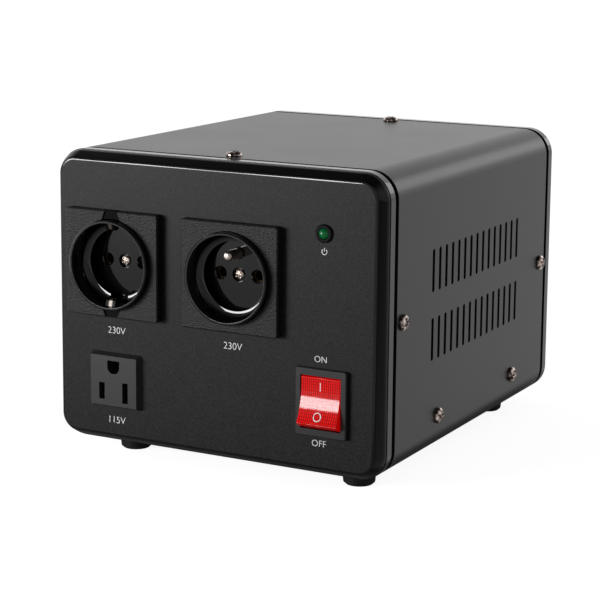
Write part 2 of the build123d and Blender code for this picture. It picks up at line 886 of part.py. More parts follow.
with BuildPart() as outlet_contacts:
    with BuildSketch(outlet_front.offset(-outlet_face)):
        contact_outlines(outlet_contact_sheet)
    extrude(amount=-outlet_contact_length)
    with BuildSketch(outlet_front.offset(-outlet_face)):
        contact_outlines(0)
    extrude(amount=outlet_contact_sheet - outlet_contact_length, mode=Mode.SUBTRACT)
    with BuildSketch(outlet_front.offset(-outlet_face - outlet_contact_length)):
        with Locations(*contact_places):
            Rectangle(tab_thickness, outlet_tab_width)
    extrude(amount=outlet_face + outlet_contact_length - outlet_body_depth - tab_reach)
keep(outlet_contacts.part, "outlet_contacts")

# Rocker switch
switch_front = front_at(switch_x, -switch_drop)
trunnion_bore = trunnion_radius + trunnion_play
pivot = switch_front.offset(-rocker_pivot_depth)
tab_places = [
    (x, z)
    for x in (-switch_tab_spacing / 2, switch_tab_spacing / 2)
    for z in (-switch_tab_row_spacing / 2, switch_tab_row_spacing / 2)
]
with BuildPart() as switch_housing:
    with BuildSketch(switch_front):
        RectangleRounded(switch_frame_width, switch_frame_height, switch_frame_corner)
    extrude(amount=switch_frame_proud)
    frame_edge = switch_housing.faces().sort_by(Axis.Y)[0].outer_wire().edges()
    chamfer(frame_edge, switch_frame_chamfer)
    with BuildSketch(switch_front):
        Rectangle(switch_body_width, switch_body_height)
    extrude(amount=-switch_body_depth)
    with BuildSketch(switch_front.offset(switch_frame_proud)):
        Rectangle(window_width, window_height)
    extrude(amount=-switch_frame_proud - window_depth, mode=Mode.SUBTRACT)
    with BuildSketch(Plane(origin=pivot.origin, x_dir=(0, 1, 0), z_dir=(1, 0, 0))):
        Circle(trunnion_bore)
    extrude(amount=switch_body_width, both=True, mode=Mode.SUBTRACT)
    with BuildSketch(switch_front.offset(-window_depth)):
        with Locations(*tab_places):
            Rectangle(tab_width + 2 * tab_gap, tab_thickness + 2 * tab_gap)
    extrude(amount=-switch_body_depth, mode=Mode.SUBTRACT)
keep(switch_housing.part, "switch_housing")

rocker_radius = window_height / 2 - rocker_gap
end_height = rocker_end_proud + rocker_pivot_depth
end_reach = sqrt(rocker_radius**2 - end_height**2)
back_reach = sqrt(rocker_radius**2 - rocker_back**2)
tilt = radians(rocker_tilt_angle)
rocker_plane = Plane(origin=pivot.origin, x_dir=(0, sin(tilt), cos(tilt)), z_dir=(1, 0, 0))
with BuildPart() as switch_rocker:
    with BuildSketch(rocker_plane):
        with BuildLine():
            ThreePointArc(
                (-end_reach, end_height), (0, end_height - rocker_dish), (end_reach, end_height)
            )
            ThreePointArc((end_reach, end_height), (rocker_radius, 0), (back_reach, -rocker_back))
            Line((back_reach, -rocker_back), (-back_reach, -rocker_back))
            ThreePointArc((-back_reach, -rocker_back), (-rocker_radius, 0), (-end_reach, end_height))
        make_face()
    extrude(amount=window_width / 2 - rocker_gap, both=True)
    with BuildSketch(rocker_plane):
        Circle(trunnion_radius)
    extrude(amount=window_width / 2 - rocker_gap + trunnion_reach, both=True)
keep(switch_rocker.part, "switch_rocker")

with BuildPart() as switch_terminals:
    with BuildSketch(switch_front.offset(switch_tab_inner - window_depth)):
        with Locations(*tab_places):
            Rectangle(tab_width, tab_thickness)
    extrude(amount=window_depth - switch_tab_inner - switch_body_depth - tab_reach)
keep(switch_terminals.part, "switch_terminals")

lamp_seat = switch_front.offset(glow_lamp_radius - window_depth)
with BuildPart() as glow_lamp:
    with BuildSketch(Plane(origin=lamp_seat.origin, x_dir=(0, 1, 0), z_dir=(1, 0, 0))):
        Circle(glow_lamp_radius)
    extrude(amount=glow_lamp_length / 2, both=True)
keep(glow_lamp.part, "switch_glow_lamp")

# Signal lamp
lamp_front = front_at(lamp_x, lamp_rise)
with BuildPart() as lamp_collar:
    with BuildSketch(lamp_front):
        Circle(lamp_collar_radius)
    extrude(amount=lamp_collar_proud)
    chamfer(lamp_collar.faces().sort_by(Axis.Y)[0].edges(), lamp_collar_edge)
    with BuildSketch(lamp_front):
        Circle(lamp_barrel_radius)
    extrude(amount=-lamp_barrel_depth)
    with Locations(lamp_front.offset(lamp_collar_proud)):
        Hole(lamp_lens_radius + lamp_gap)
keep(lamp_collar.part, "lamp_collar")

with BuildPart() as signal_lamp:
    with BuildSketch(lamp_front.offset(lamp_lens_proud - lamp_lens_radius)):
        Circle(lamp_lens_radius)
    extrude(amount=lamp_lens_radius - lamp_lens_proud - lamp_barrel_depth)
    with Locations(lamp_front.offset(lamp_lens_proud - lamp_lens_radius)):
        Sphere(lamp_lens_radius)
    with BuildSketch(lamp_front.offset(-lamp_barrel_depth)):
        with Locations((-lamp_lead_spacing / 2, 0), (lamp_lead_spacing / 2, 0)):
            Circle(lamp_lead_radius)
    extrude(amount=-lamp_lead_reach)
keep(signal_lamp.part, "signal_lamp")

# Mains inlet
inlet_face = rear_at(inlet_x, -inlet_drop)
inlet_mouth = inlet_face.offset(inlet_proud)
inlet_pin_places = [
    (-inlet_pin_spacing / 2, -inlet_pin_offset / 2),
    (inlet_pin_spacing / 2, -inlet_pin_offset / 2),
    (0, inlet_pin_offset / 2),
]
inlet_screw_places = [(-inlet_screw_spacing / 2, 0), (inlet_screw_spacing / 2, 0)]
with BuildPart() as inlet_body:
    with BuildSketch(inlet_face):
        RectangleRounded(inlet_width, inlet_height, inlet_corner_radius)
    extrude(amount=inlet_proud)
    chamfer(inlet_body.faces().sort_by(Axis.Y)[-1].outer_wire().edges(), inlet_edge)
    with BuildSketch(inlet_face):
        Rectangle(inlet_body_width, inlet_body_height)
    extrude(amount=-inlet_body_depth)
    with BuildSketch(inlet_mouth):
        with BuildLine():
            Polyline(
                (-inlet_mouth_width / 2, -inlet_mouth_height / 2),
                (inlet_mouth_width / 2, -inlet_mouth_height / 2),
                (inlet_mouth_width / 2, inlet_mouth_height / 2 - inlet_mouth_chamfer),
                (inlet_mouth_width / 2 - inlet_mouth_chamfer, inlet_mouth_height / 2),
                (-inlet_mouth_width / 2 + inlet_mouth_chamfer, inlet_mouth_height / 2),
                (-inlet_mouth_width / 2, inlet_mouth_height / 2 - inlet_mouth_chamfer),
                close=True,
            )
        make_face()
    extrude(amount=-inlet_mouth_depth, mode=Mode.SUBTRACT)
    with BuildSketch(inlet_mouth):
        with Locations(*inlet_pin_places):
            Rectangle(inlet_pin_width + 2 * tab_gap, inlet_pin_height + 2 * tab_gap)
        with Locations(*inlet_screw_places):
            Circle(screw_hole_radius)
    extrude(amount=-inlet_proud - inlet_body_depth, mode=Mode.SUBTRACT)
keep(inlet_body.part, "inlet_body")

with BuildPart() as inlet_pins:
    with BuildSketch(inlet_mouth.offset(inlet_pin_length - inlet_mouth_depth)):
        with Locations(*inlet_pin_places):
            Rectangle(inlet_pin_width, inlet_pin_height)
    extrude(amount=inlet_mouth_depth - inlet_pin_length - inlet_proud - inlet_body_depth - tab_reach)
    chamfer(inlet_pins.faces().group_by(Axis.Y)[-1].edges(), inlet_pin_round)
keep(inlet_pins.part, "inlet_pins")

with BuildPart() as inlet_screws:
    with Locations(*[rear_at(inlet_x - x, -inlet_drop).offset(inlet_proud) for x, z in inlet_screw_places]):
        add(cover_screw)
keep(inlet_screws.part, "inlet_screws")

# Breaker
breaker_face = rear_at(breaker_x, breaker_rise)
bush_end = breaker_face.offset(breaker_bush_proud)
foot_room = breaker_travel + breaker_foot_thickness + breaker_button_gap
button_foot = -panel_thickness - breaker_button_gap - breaker_travel
with BuildPart() as breaker_body:
    with BuildSketch(breaker_face.offset(-panel_thickness)):
        Rectangle(breaker_body_width, breaker_body_height)
    extrude(amount=panel_thickness - breaker_body_depth)
    with BuildSketch(breaker_face.offset(-panel_thickness)):
        Circle(breaker_bush_radius)
    extrude(amount=panel_thickness + breaker_bush_proud)
    with BuildSketch(bush_end):
        Circle(breaker_button_radius + breaker_button_gap)
    extrude(amount=-breaker_bush_proud - panel_thickness, mode=Mode.SUBTRACT)
    with BuildSketch(breaker_face.offset(-panel_thickness)):
        Circle(breaker_foot_radius + breaker_button_gap)
    extrude(amount=-foot_room - breaker_button_gap, mode=Mode.SUBTRACT)
keep(breaker_body.part, "breaker_body")

with BuildPart() as breaker_button:
    with BuildSketch(bush_end.offset(breaker_button_proud)):
        Circle(breaker_button_radius)
    extrude(amount=button_foot - breaker_bush_proud - breaker_button_proud)
    chamfer(breaker_button.faces().sort_by(Axis.Y)[-1].edges(), breaker_button_edge)
    with BuildSketch(breaker_face.offset(button_foot)):
        Circle(breaker_foot_radius)
    extrude(amount=-breaker_foot_thickness)
keep(breaker_button.part, "breaker_button")

with BuildPart() as breaker_nut:
    with BuildSketch(breaker_face):
        RegularPolygon(breaker_nut_flats / 2, 6, major_radius=False)
        Circle(breaker_bush_radius + breaker_nut_gap, mode=Mode.SUBTRACT)
    extrude(amount=breaker_nut_thickness)
keep(breaker_nut.part, "breaker_nut")

with BuildPart() as breaker_terminals:
    with BuildSketch(breaker_face.offset(-breaker_body_depth)):
        with Locations((0, -breaker_tab_spacing / 2), (0, breaker_tab_spacing / 2)):
            Rectangle(tab_width, tab_thickness)
    extrude(amount=-tab_reach)
keep(breaker_terminals.part, "breaker_terminals")

# Transformer
core_z = base_top_z + core_height / 2
core_face = Plane(origin=(0, core_y, core_z), x_dir=(1, 0, 0), z_dir=(0, -1, 0))
window_span = (core_width - 4 * core_leg) / 2
window_rise = core_height - 2 * core_leg
limb_reach = core_leg + window_span / 2
bolt_x = core_width / 2 - core_bolt_inset
bolt_z = core_height / 2 - core_bolt_inset
bolt_places = [(x, z) for x in (-bolt_x, bolt_x) for z in (-bolt_z, bolt_z)]
with BuildPart() as transformer_core:
    with BuildSketch(core_face):
        Rectangle(core_width, core_height)
        with Locations((-limb_reach, 0), (limb_reach, 0)):
            Rectangle(window_span, window_rise, mode=Mode.SUBTRACT)
        with Locations(*bolt_places):
            Circle(core_bolt_radius + bolt_gap, mode=Mode.SUBTRACT)
    extrude(amount=core_stack / 2, both=True)
keep(transformer_core.part, "transformer_core")

bobbin_bore_x = 2 * core_leg + 2 * bobbin_gap
bobbin_bore_y = core_stack + 2 * bobbin_gap
bobbin_tube_x = bobbin_bore_x + 2 * bobbin_wall
bobbin_tube_y = bobbin_bore_y + 2 * bobbin_wall
bobbin_rise = window_rise - 2 * bobbin_gap
winding_build = core_leg + window_span - bobbin_gap - bobbin_tube_x / 2
flange_x = bobbin_tube_x + 2 * winding_build
flange_y = bobbin_tube_y + 2 * winding_build
bobbin_foot = upright_at(0, core_y, core_z - bobbin_rise / 2)
flange_levels = [0, (bobbin_rise - bobbin_flange) / 2, bobbin_rise - bobbin_flange]
with BuildPart() as transformer_bobbin:
    with BuildSketch(bobbin_foot):
        Rectangle(bobbin_tube_x, bobbin_tube_y)
    extrude(amount=bobbin_rise)
    for level in flange_levels:
        with BuildSketch(bobbin_foot.offset(level)):
            Rectangle(flange_x, flange_y)
        extrude(amount=bobbin_flange)
    with BuildSketch(bobbin_foot):
        Rectangle(bobbin_bore_x, bobbin_bore_y)
    extrude(amount=bobbin_rise, mode=Mode.SUBTRACT)
keep(transformer_bobbin.part, "transformer_bobbin")

winding_rise = flange_levels[1] - bobbin_flange - 2 * winding_play
winding_x = flange_x - 2 * winding_gap
winding_y = flange_y - 2 * winding_gap
for name, level in zip(("primary_winding", "secondary_winding"), flange_levels):
    seat = bobbin_foot.offset(level + bobbin_flange + winding_play)
    with BuildPart() as winding:
        with BuildSketch(seat):
            RectangleRounded(winding_x, winding_y, winding_corner_radius)
            Rectangle(
                bobbin_tube_x + 2 * winding_play, bobbin_tube_y + 2 * winding_play, mode=Mode.SUBTRACT
            )
        extrude(amount=winding_rise)
    keep(winding.part, name)


def core_bracket(y, way):
    """Angle across the foot of the core: the bolts clamp its upright, its foot is screwed down."""
    section = Plane(origin=(0, y, base_top_z), x_dir=(0, way, 0), z_dir=(way, 0, 0))
    with BuildPart() as bracket:
        with BuildSketch(section):
            with BuildLine():
                Polyline(
                    (0, 0),
                    (bracket_foot, 0),
                    (bracket_foot, bracket_sheet),
                    (bracket_sheet, bracket_sheet),
                    (bracket_sheet, bracket_height),
                    (0, bracket_height),
                    close=True,
                )
            make_face()
        extrude(amount=core_width / 2, both=True)
        edges = bracket.edges().filter_by(Axis.X)
        bend = edges.group_by(Axis.Z)[1].sort_by(Axis((0, y, 0), (0, way, 0)))[0]
        heel = edges.group_by(Axis.Z)[0].sort_by(Axis((0, y, 0), (0, way, 0)))[0]
        fillet(bend, bracket_bend_radius - bracket_sheet)
        fillet(heel, bracket_bend_radius)
        with Locations(*[Plane(origin=(x, y, core_z + z), z_dir=(0, 1, 0)) for x, z in bolt_places[::2]]):
            Hole(core_bolt_radius + bolt_gap)
        feet = [(x, place_y) for x, place_y in bracket_screw_places if (place_y - y) * way > 0]
        feet = [(x, place_y) for x, place_y in feet if abs(place_y - y) < bracket_foot]
        with Locations(*[upright_at(x, place_y, base_top_z + bracket_sheet) for x, place_y in feet]):
            Hole(bracket_screw_radius + bolt_gap)
    return bracket.part


keep(core_bracket(bracket_y_front, -1), "transformer_bracket_front")
keep(core_bracket(bracket_y_rear, 1), "transformer_bracket_rear")

# Core bolts: the lower pair clamps the brackets, and every bolt has its nut at the back
with BuildPart() as core_bolts:
    for x, z in bolt_places:
        spread = bracket_sheet if z < 0 else 0
        head_seat = core_face.offset(core_stack / 2 + spread)
        tail = core_face.offset(-core_stack / 2 - spread)
        with BuildSketch(head_seat):
            with Locations((x, z)):
                RegularPolygon(core_bolt_flats / 2, 6, major_radius=False)
        extrude(amount=core_bolt_head_height)
        with BuildSketch(head_seat):
            with Locations((x, z)):
                Circle(core_bolt_radius)
        extrude(amount=-core_stack - 2 * spread - core_nut_thickness - core_bolt_tail)
        with BuildSketch(tail):
            with Locations((x, z)):
                RegularPolygon(core_nut_flats / 2, 6, major_radius=False)
        extrude(amount=-core_nut_thickness)
keep(core_bolts.part, "core_bolts")

bracket_screw = hexagon_screw(
    bracket_screw_flats,
    bracket_screw_head_height,
    bracket_screw_radius,
    bracket_sheet + base_sheet,
)
with BuildPart() as bracket_screws:
    with Locations(*[upright_at(x, y, base_top_z + bracket_sheet) for x, y in bracket_screw_places]):
        add(bracket_screw)
keep(bracket_screws.part, "bracket_screws")

# Earth stud: its head is under the base, its nut on top
with BuildPart() as earth_stud:
    with BuildSketch(upright_at(stud_x, stud_y, base_bottom_z - stud_head_height)):
        Circle(stud_head_radius)
    extrude(amount=stud_head_height)
    with BuildSketch(upright_at(stud_x, stud_y, base_bottom_z)):
        Circle(stud_radius)
    extrude(amount=base_sheet + stud_length)
    with BuildSketch(upright_at(stud_x, stud_y, base_top_z)):
        RegularPolygon(stud_nut_flats / 2, 6, major_radius=False)
    extrude(amount=stud_nut_thickness)
keep(earth_stud.part, "earth_stud")

print(len(made), "nodes:", ", ".join(made))
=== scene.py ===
# %% [markdown]
# # A table voltage converter
# This notebook dresses a voltage converter: a vented steel box with a moulded frame at each end, two
# round sockets, a flat-blade outlet, a red rocker switch and a green signal lamp. The measured solids
# come from the frame. Each step below says what a piece or a finish is on the real object, how it could
# be made in Blender, and why this way was chosen.

# %% Load the frame
from math import cos, pi, radians, sin

import bmesh
import bpy
from mathutils import Matrix, Vector
from mathutils.bvhtree import BVHTree


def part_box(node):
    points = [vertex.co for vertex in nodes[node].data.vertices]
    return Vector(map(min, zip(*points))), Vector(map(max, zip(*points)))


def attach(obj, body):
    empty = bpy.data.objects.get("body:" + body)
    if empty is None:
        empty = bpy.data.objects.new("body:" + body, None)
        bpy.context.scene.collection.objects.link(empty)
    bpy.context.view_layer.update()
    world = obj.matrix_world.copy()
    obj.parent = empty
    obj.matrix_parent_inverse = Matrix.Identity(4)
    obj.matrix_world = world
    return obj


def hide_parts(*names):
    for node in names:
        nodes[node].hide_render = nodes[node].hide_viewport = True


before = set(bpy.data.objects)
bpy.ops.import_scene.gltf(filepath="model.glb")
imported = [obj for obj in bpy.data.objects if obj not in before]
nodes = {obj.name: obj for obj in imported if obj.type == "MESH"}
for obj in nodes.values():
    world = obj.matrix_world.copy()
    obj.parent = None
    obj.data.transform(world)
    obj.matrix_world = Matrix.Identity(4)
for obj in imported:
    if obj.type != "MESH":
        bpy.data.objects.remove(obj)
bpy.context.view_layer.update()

MM = 0.001

# %% [markdown]
# ## Camera
# A product photograph is taken from far away with a long lens, so that upright edges stay nearly
# upright. A camera could be placed by eye. Here it was fitted, so that the frame's corners, the sockets
# and the feet fall on their places in the picture: it stands to the right and a little above, and is
# turned a hair about its own axis. A shift of the lens slides the unit up in the frame, because tilting
# the camera further would make the upright edges lean.

# %% Camera
scene = bpy.context.scene
front_low, front_high = (Vector(corner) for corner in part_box("front_bezel"))
_, rear_high = (Vector(corner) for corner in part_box("rear_bezel"))
front_y = front_low.y
rear_y = rear_high.y
middle_y = (front_y + rear_y) / 2
middle_z = (front_low.z + front_high.z) / 2

camera_azimuth = radians(28.07)
camera_elevation = radians(10.08)
camera_roll = -0.0089
camera_place = Vector((0.43537, front_y - 0.73205, middle_z + 0.18481))
focal_in_pixels = 1923
picture_width = 600
sensor_width = 36
framing_shift = -0.1

away = Vector((
    sin(camera_azimuth) * cos(camera_elevation),
    -cos(camera_azimuth) * cos(camera_elevation),
    sin(camera_elevation),
))
level = Vector((cos(camera_azimuth), sin(camera_azimuth), 0))
upward = away.cross(level)
turned_level = level * cos(camera_roll) - upward * sin(camera_roll)
turned_upward = level * sin(camera_roll) + upward * cos(camera_roll)

camera_data = bpy.data.cameras.new("camera")
camera_data.sensor_width = sensor_width
camera_data.lens = sensor_width * focal_in_pixels / picture_width
camera_data.shift_y = framing_shift
camera = bpy.data.objects.new("camera", camera_data)
camera.matrix_world = Matrix((
    (turned_level.x, turned_upward.x, away.x, camera_place.x),
    (turned_level.y, turned_upward.y, away.y, camera_place.y),
    (turned_level.z, turned_upward.z, away.z, camera_place.z),
    (0, 0, 0, 1),
))
scene.collection.objects.link(camera)
scene.camera = camera
scene.view_settings.view_transform = "Standard"
print("lens", round(camera_data.lens, 1), "mm")

# %% [markdown]
# ## Node trees written as arithmetic
# A finish such as fine mould grain is a small sum: noise, times a strength, plus a level. Node by node
# that is hard to read. Here one class wraps a socket so that plus, minus and times add Math nodes, and
# one method adds any other node: its type, its settings first, then the values or links of its sockets.
# The same two classes write the shaders, the sky and the geometry trees.


# %% A number that changes over a surface
class Signal:
    """A socket that carries a number. Arithmetic on it adds Math nodes to its tree."""

    def __init__(self, graph, socket):
        self.graph = graph
        self.socket = socket

    def math(self, operation, *values, clamp=False):
        settings = {"operation": operation, "use_clamp": clamp}
        return self.graph.signal("ShaderNodeMath", settings, dict(enumerate(values)))

    def __add__(self, other):
        return self.math("ADD", self, other)

    def __radd__(self, other):
        return self.math("ADD", other, self)

    def __sub__(self, other):
        return self.math("SUBTRACT", self, other)

    def __rsub__(self, other):
        return self.math("SUBTRACT", other, self)

    def __mul__(self, other):
        return self.math("MULTIPLY", self, other)

    def __rmul__(self, other):
        return self.math("MULTIPLY", other, self)

    def __truediv__(self, other):
        return self.math("DIVIDE", self, other)

    def __rtruediv__(self, other):
        return self.math("DIVIDE", other, self)

    def __abs__(self):
        return self.math("ABSOLUTE", self)

    def clamped(self):
        return self.math("ADD", self, 0.0, clamp=True)

    def rise(self, start, end):
        """0 below start, 1 above end, and a straight ramp between them."""
        return ((self - start) / (end - start)).clamped()

    def either(self, other):
        return self.math("MAXIMUM", self, other)


# %% A node tree with one method that adds nodes
class Graph:
    """A node tree of any kind."""

    def __init__(self, tree):
        self.tree = tree

    def node(self, kind, settings=None, inputs=None):
        """A node of any type: its settings are made first, then its sockets are filled or linked."""
        made = self.tree.nodes.new(kind)
        for name, value in (settings or {}).items():
            setattr(made, name, value)
        for key, value in (inputs or {}).items():
            self.join(made.inputs[key], value)
        return made

    def join(self, place, value):
        if isinstance(value, Signal):
            self.tree.links.new(value.socket, place)
        elif isinstance(value, bpy.types.NodeSocket):
            self.tree.links.new(value, place)
        else:
            place.default_value = value

    def signal(self, kind, settings=None, inputs=None, output=0):
        return Signal(self, self.node(kind, settings, inputs).outputs[output])

    def split(self, vector):
        parts = self.node("ShaderNodeSeparateXYZ", inputs={0: vector})
        return [Signal(self, part) for part in parts.outputs]

    def vector(self, x, y, z):
        return self.node("ShaderNodeCombineXYZ", inputs={0: x, 1: y, 2: z}).outputs[0]

    def mixed(self, factor, first, second):
        """A colour between two colours."""
        inputs = {0: factor, 6: first, 7: second}
        return self.node("ShaderNodeMix", {"data_type": "RGBA"}, inputs).outputs[2]


print("arithmetic ready")


# %% [markdown]
# ## Finishes
# Nearly everything on this unit is black, so its finishes differ in sheen and grain, not in colour: the
# frame's face is spark-eroded, its folded edge is smooth, the socket plates have a coarser leather grain,
# the wells are polished, and the steel is powder coated. A picture of each grain would need unwrapping and
# would stretch. Each finish is one shader instead, with grain worked out in its colour, its bump and its
# roughness. Object coordinates keep the grain still and at its real size, in metres.


# %% Colours
def linear(level):
    """A level of 0 to 255 as a paint chart gives it, as the light it sends back."""
    share = level / 255
    return share / 12.92 if share < 0.04045 else ((share + 0.055) / 1.055) ** 2.4


def colour(red, green, blue):
    return (linear(red), linear(green), linear(blue), 1.0)


# %% A finish
class Finish(Graph):
    """A material: fixed values go on the shader's own sockets, what varies is fed to them."""

    def __init__(self, name, **fixed):
        self.material = bpy.data.materials.new(name)
        self.material.use_nodes = True
        super().__init__(self.material.node_tree)
        self.shader = self.tree.nodes["Principled BSDF"]
        for setting, value in fixed.items():
            socket = setting.replace("_", " ").title().replace("Ior", "IOR")
            self.shader.inputs[socket].default_value = value
        self.place = self.node("ShaderNodeTexCoord").outputs["Object"]
        self.x, self.y, self.z = self.split(self.place)

    def feed(self, socket, value):
        self.join(self.shader.inputs[socket], value)

    def noise(self, size, detail=2):
        """Even noise from 0 to 1 whose lumps are about as large as size."""
        inputs = {"Vector": self.place, "Scale": 1 / size, "Detail": detail}
        return self.signal("ShaderNodeTexNoise", {"noise_dimensions": "3D"}, inputs)

    def cells(self, size):
        """Distance to the nearest seed of a cell pattern, 0 at a seed."""
        inputs = {"Vector": self.place, "Scale": 1 / size}
        return self.signal("ShaderNodeTexVoronoi", {"feature": "F1"}, inputs, "Distance")

    def bump(self, height, depth):
        """Relief that stands up by depth where height is 1."""
        inputs = {"Height": height, "Distance": depth, "Strength": 1.0}
        self.feed("Normal", self.node("ShaderNodeBump", inputs=inputs).outputs[0])

    def tinted(self, dark, light, factor):
        self.feed("Base Color", self.mixed(factor, dark, light))


# %% [markdown]
# ### Moulded plastics
# The face of an end frame takes its grain from the mould. The band folded back from it is smooth and
# nearly black, the narrow round where it folds is polished, and the rim behind has some grain and gloss.
# Four materials would need the solid cut into zones. One material does it with masks, from the distance
# behind the face, which follow a change of size. The other plastics differ only in level, gloss and grain,
# so one function makes them all.

# %% Frame plastic
frame_plastic = Finish("frame_plastic", specular_ior_level=0.22, coat_roughness=0.08)
reach = abs(frame_plastic.y - middle_y)
half_length = (rear_y - front_y) / 2


def nearer_than(deep, shallow):
    """0 where a point lies more than deep behind the face of its frame, 1 where less than shallow."""
    return reach.rise(half_length - deep, half_length - shallow)


on_face = nearer_than(0.02 * MM, 0.002 * MM)
on_rim = 1 - nearer_than(6.0 * MM, 5.2 * MM)
on_fold = (1 - on_face) * nearer_than(0.6 * MM, 0.4 * MM)
grain_shown = (0.08 + 0.92 * on_face).either(0.9 * on_rim)
grain = frame_plastic.noise(0.6 * MM, 3)
patches = frame_plastic.noise(14 * MM)
speckle = (2.4 * grain - 0.8 + 0.1 * patches).clamped()
frame_plastic.tinted(colour(2, 2, 3), colour(40, 40, 41), speckle * grain_shown)
frame_plastic.feed("Roughness", 0.12 + 0.34 * on_face + 0.04 * patches)
frame_plastic.feed("Coat Weight", 0.9 * on_fold.either(0.6 * on_rim))
frame_plastic.bump(grain * (0.15 + 0.85 * on_face), 0.05 * MM)
print("frame plastic, half length", round(half_length / MM, 2), "mm")

# %% Socket plates
plate_plastic = Finish("plate_plastic", specular_ior_level=0.36)
leather = plate_plastic.cells(0.75 * MM)
pores = plate_plastic.noise(0.6 * MM, 3)
plate_plastic.tinted(colour(0, 0, 0), colour(30, 30, 31), (3.4 * pores - 1.6 + 0.5 * leather).clamped())
plate_plastic.feed("Roughness", 0.44 + 0.16 * pores)
plate_plastic.bump(0.5 * leather + 0.8 * pores, 0.3 * MM)
print("socket plates")


# %% Polished and satin blacks
def black_plastic(name, level, rough, size, depth, specular=0.5):
    """A near black with waves about as large as size, which stand up by depth."""
    finish = Finish(name, specular_ior_level=specular)
    wave = finish.noise(size, 3)
    pale = colour(level + 9, level + 9, level + 10)
    finish.tinted(colour(level, level, level), pale, wave)
    finish.feed("Roughness", rough + 0.1 * wave)
    finish.bump(wave, depth)
    return finish


well_plastic = black_plastic("well_plastic", 6, rough=0.0, size=7 * MM, depth=0.01 * MM, specular=0.6)
# The bead round each well's mouth is a paler grey: a painted highlight line along the edge.
lip_highlight_plastic = black_plastic("lip_highlight_plastic", 88, rough=0.2, size=2 * MM, depth=0.01 * MM)
guard_plastic = black_plastic("guard_plastic", 4, rough=0.7, size=1 * MM, depth=0.03 * MM, specular=0.1)
contact_plastic = black_plastic("contact_plastic", 20, rough=0.5, size=1.2 * MM, depth=0.05 * MM)
outlet_plastic = black_plastic("outlet_plastic", 30, rough=0.4, size=0.8 * MM, depth=0.03 * MM)
switch_plastic = black_plastic("switch_plastic", 26, rough=0.36, size=1.5 * MM, depth=0.02 * MM)
inlet_plastic = black_plastic("inlet_plastic", 16, rough=0.28, size=2 * MM, depth=0.02 * MM)
breaker_plastic = black_plastic("breaker_plastic", 20, rough=0.34, size=2 * MM, depth=0.02 * MM)
foot_rubber = black_plastic("foot_rubber", 14, rough=0.42, size=0.7 * MM, depth=0.08 * MM, specular=0.4)
lamp_black = black_plastic("lamp_black", 2, rough=0.5, size=1.5 * MM, depth=0.01 * MM, specular=0.12)
print("black plastics and rubber")

# %% [markdown]
# ### Powder-coated steel
# Powder coat melts into a skin with a faint orange peel and a satin sheen, so the sheet mirrors the bright
# room only where it is seen at a low angle. A painted gradient could show that from one side, but would be
# wrong from every other. Bump and roughness give it from all sides.


# %% Steel sheets
def powder_coat(name, level, rough):
    finish = Finish(name, specular_ior_level=0.5)
    peel = finish.noise(1.1 * MM)
    dust = finish.noise(0.35 * MM)
    clouds = finish.noise(45 * MM, 3)
    pale = colour(level + 8, level + 7, level + 9)
    finish.tinted(colour(level, level, level), pale, 0.5 * clouds + 0.5 * dust)
    finish.feed("Roughness", rough + 0.05 * clouds + 0.05 * dust)
    finish.bump(0.7 * peel + 0.4 * dust, 0.022 * MM)
    return finish


cover_paint = powder_coat("cover_paint", level=22, rough=0.26)
base_paint = powder_coat("base_paint", level=22, rough=0.34)
print("powder coats")

# %% [markdown]
# ### Metals
# Screw heads are blackened bronze with bright patches painted into their colour as painted glints and
# reflections; socket fittings are nickel plated, and the contacts inside are brass. A metal shows little but
# the room that it mirrors, so a plain mirror of the right colour could do. Fine marks in the bump and stains
# in the roughness make it look handled instead of new. The earth clips are painted dark as painted shade,
# with a painted glint along the middle, near the mouth.


# %% Metals
def metal(name, rough, size, spread=0.16):
    """Bare metal with marks about as large as size. Gives its finish, and a mask of marks and stains."""
    finish = Finish(name, metallic=1.0)
    marks = finish.noise(size, 4)
    stains = finish.noise(2.5 * MM, 3)
    finish.feed("Roughness", rough + spread * stains)
    finish.bump(marks, 0.01 * MM)
    return finish, 0.5 * marks + 0.5 * stains


def stained_metal(name, dull, bright, rough, size):
    finish, stained = metal(name, rough, size)
    finish.tinted(dull, bright, stained)
    return finish


screw_bronze, _ = metal("screw_bronze", 0.05, 0.5 * MM, spread=0.1)
# Bright patches painted into the screw heads' colour: painted glints and reflections of the room.
painted_glint_patches = (3.4 * screw_bronze.noise(1.7 * MM, 1) - 1.3).clamped()
screw_bronze.tinted(colour(50, 40, 36), colour(222, 204, 196), painted_glint_patches)
earth_nickel = stained_metal("earth_nickel", colour(176, 160, 150), colour(240, 228, 220), 0.2, 0.6 * MM)
contact_brass = stained_metal("contact_brass", colour(70, 58, 40), colour(128, 108, 76), 0.34, 0.5 * MM)
bright_steel = stained_metal("bright_steel", colour(150, 150, 154), colour(206, 206, 210), 0.24, 0.4 * MM)
print("screws, fittings and contacts")

# %% Earth clips
clip_nickel, _ = metal("clip_nickel", 0.3, 0.6 * MM)
clip_low, clip_high = (Vector(corner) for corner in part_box("left_earth_strap"))
off_middle = abs(clip_nickel.x - (clip_low.x + clip_high.x) / 2)
along_middle = 1 - off_middle.rise(0.4 * MM, 1.2 * MM)
near_mouth = 1 - clip_nickel.y.rise(clip_low.y + 2 * MM, clip_low.y + 4 * MM)
# Painted light: the clip is painted dark as painted shade, with a painted glint along the middle near the
# mouth.
clip_nickel.tinted(colour(22, 21, 20), colour(112, 106, 100), along_middle * near_mouth)
print("earth clips")

# %% [markdown]
# ### Inside pieces
# The transformer shows only through the vents, but the part is looked at from all sides and may be opened.
# Its core is a stack of thin varnished sheets, its coils are under amber tape, and its bobbin is pale
# nylon. The sheets could be modelled one by one, in hundreds. Bands along one axis look the same at a
# small part of the faces.


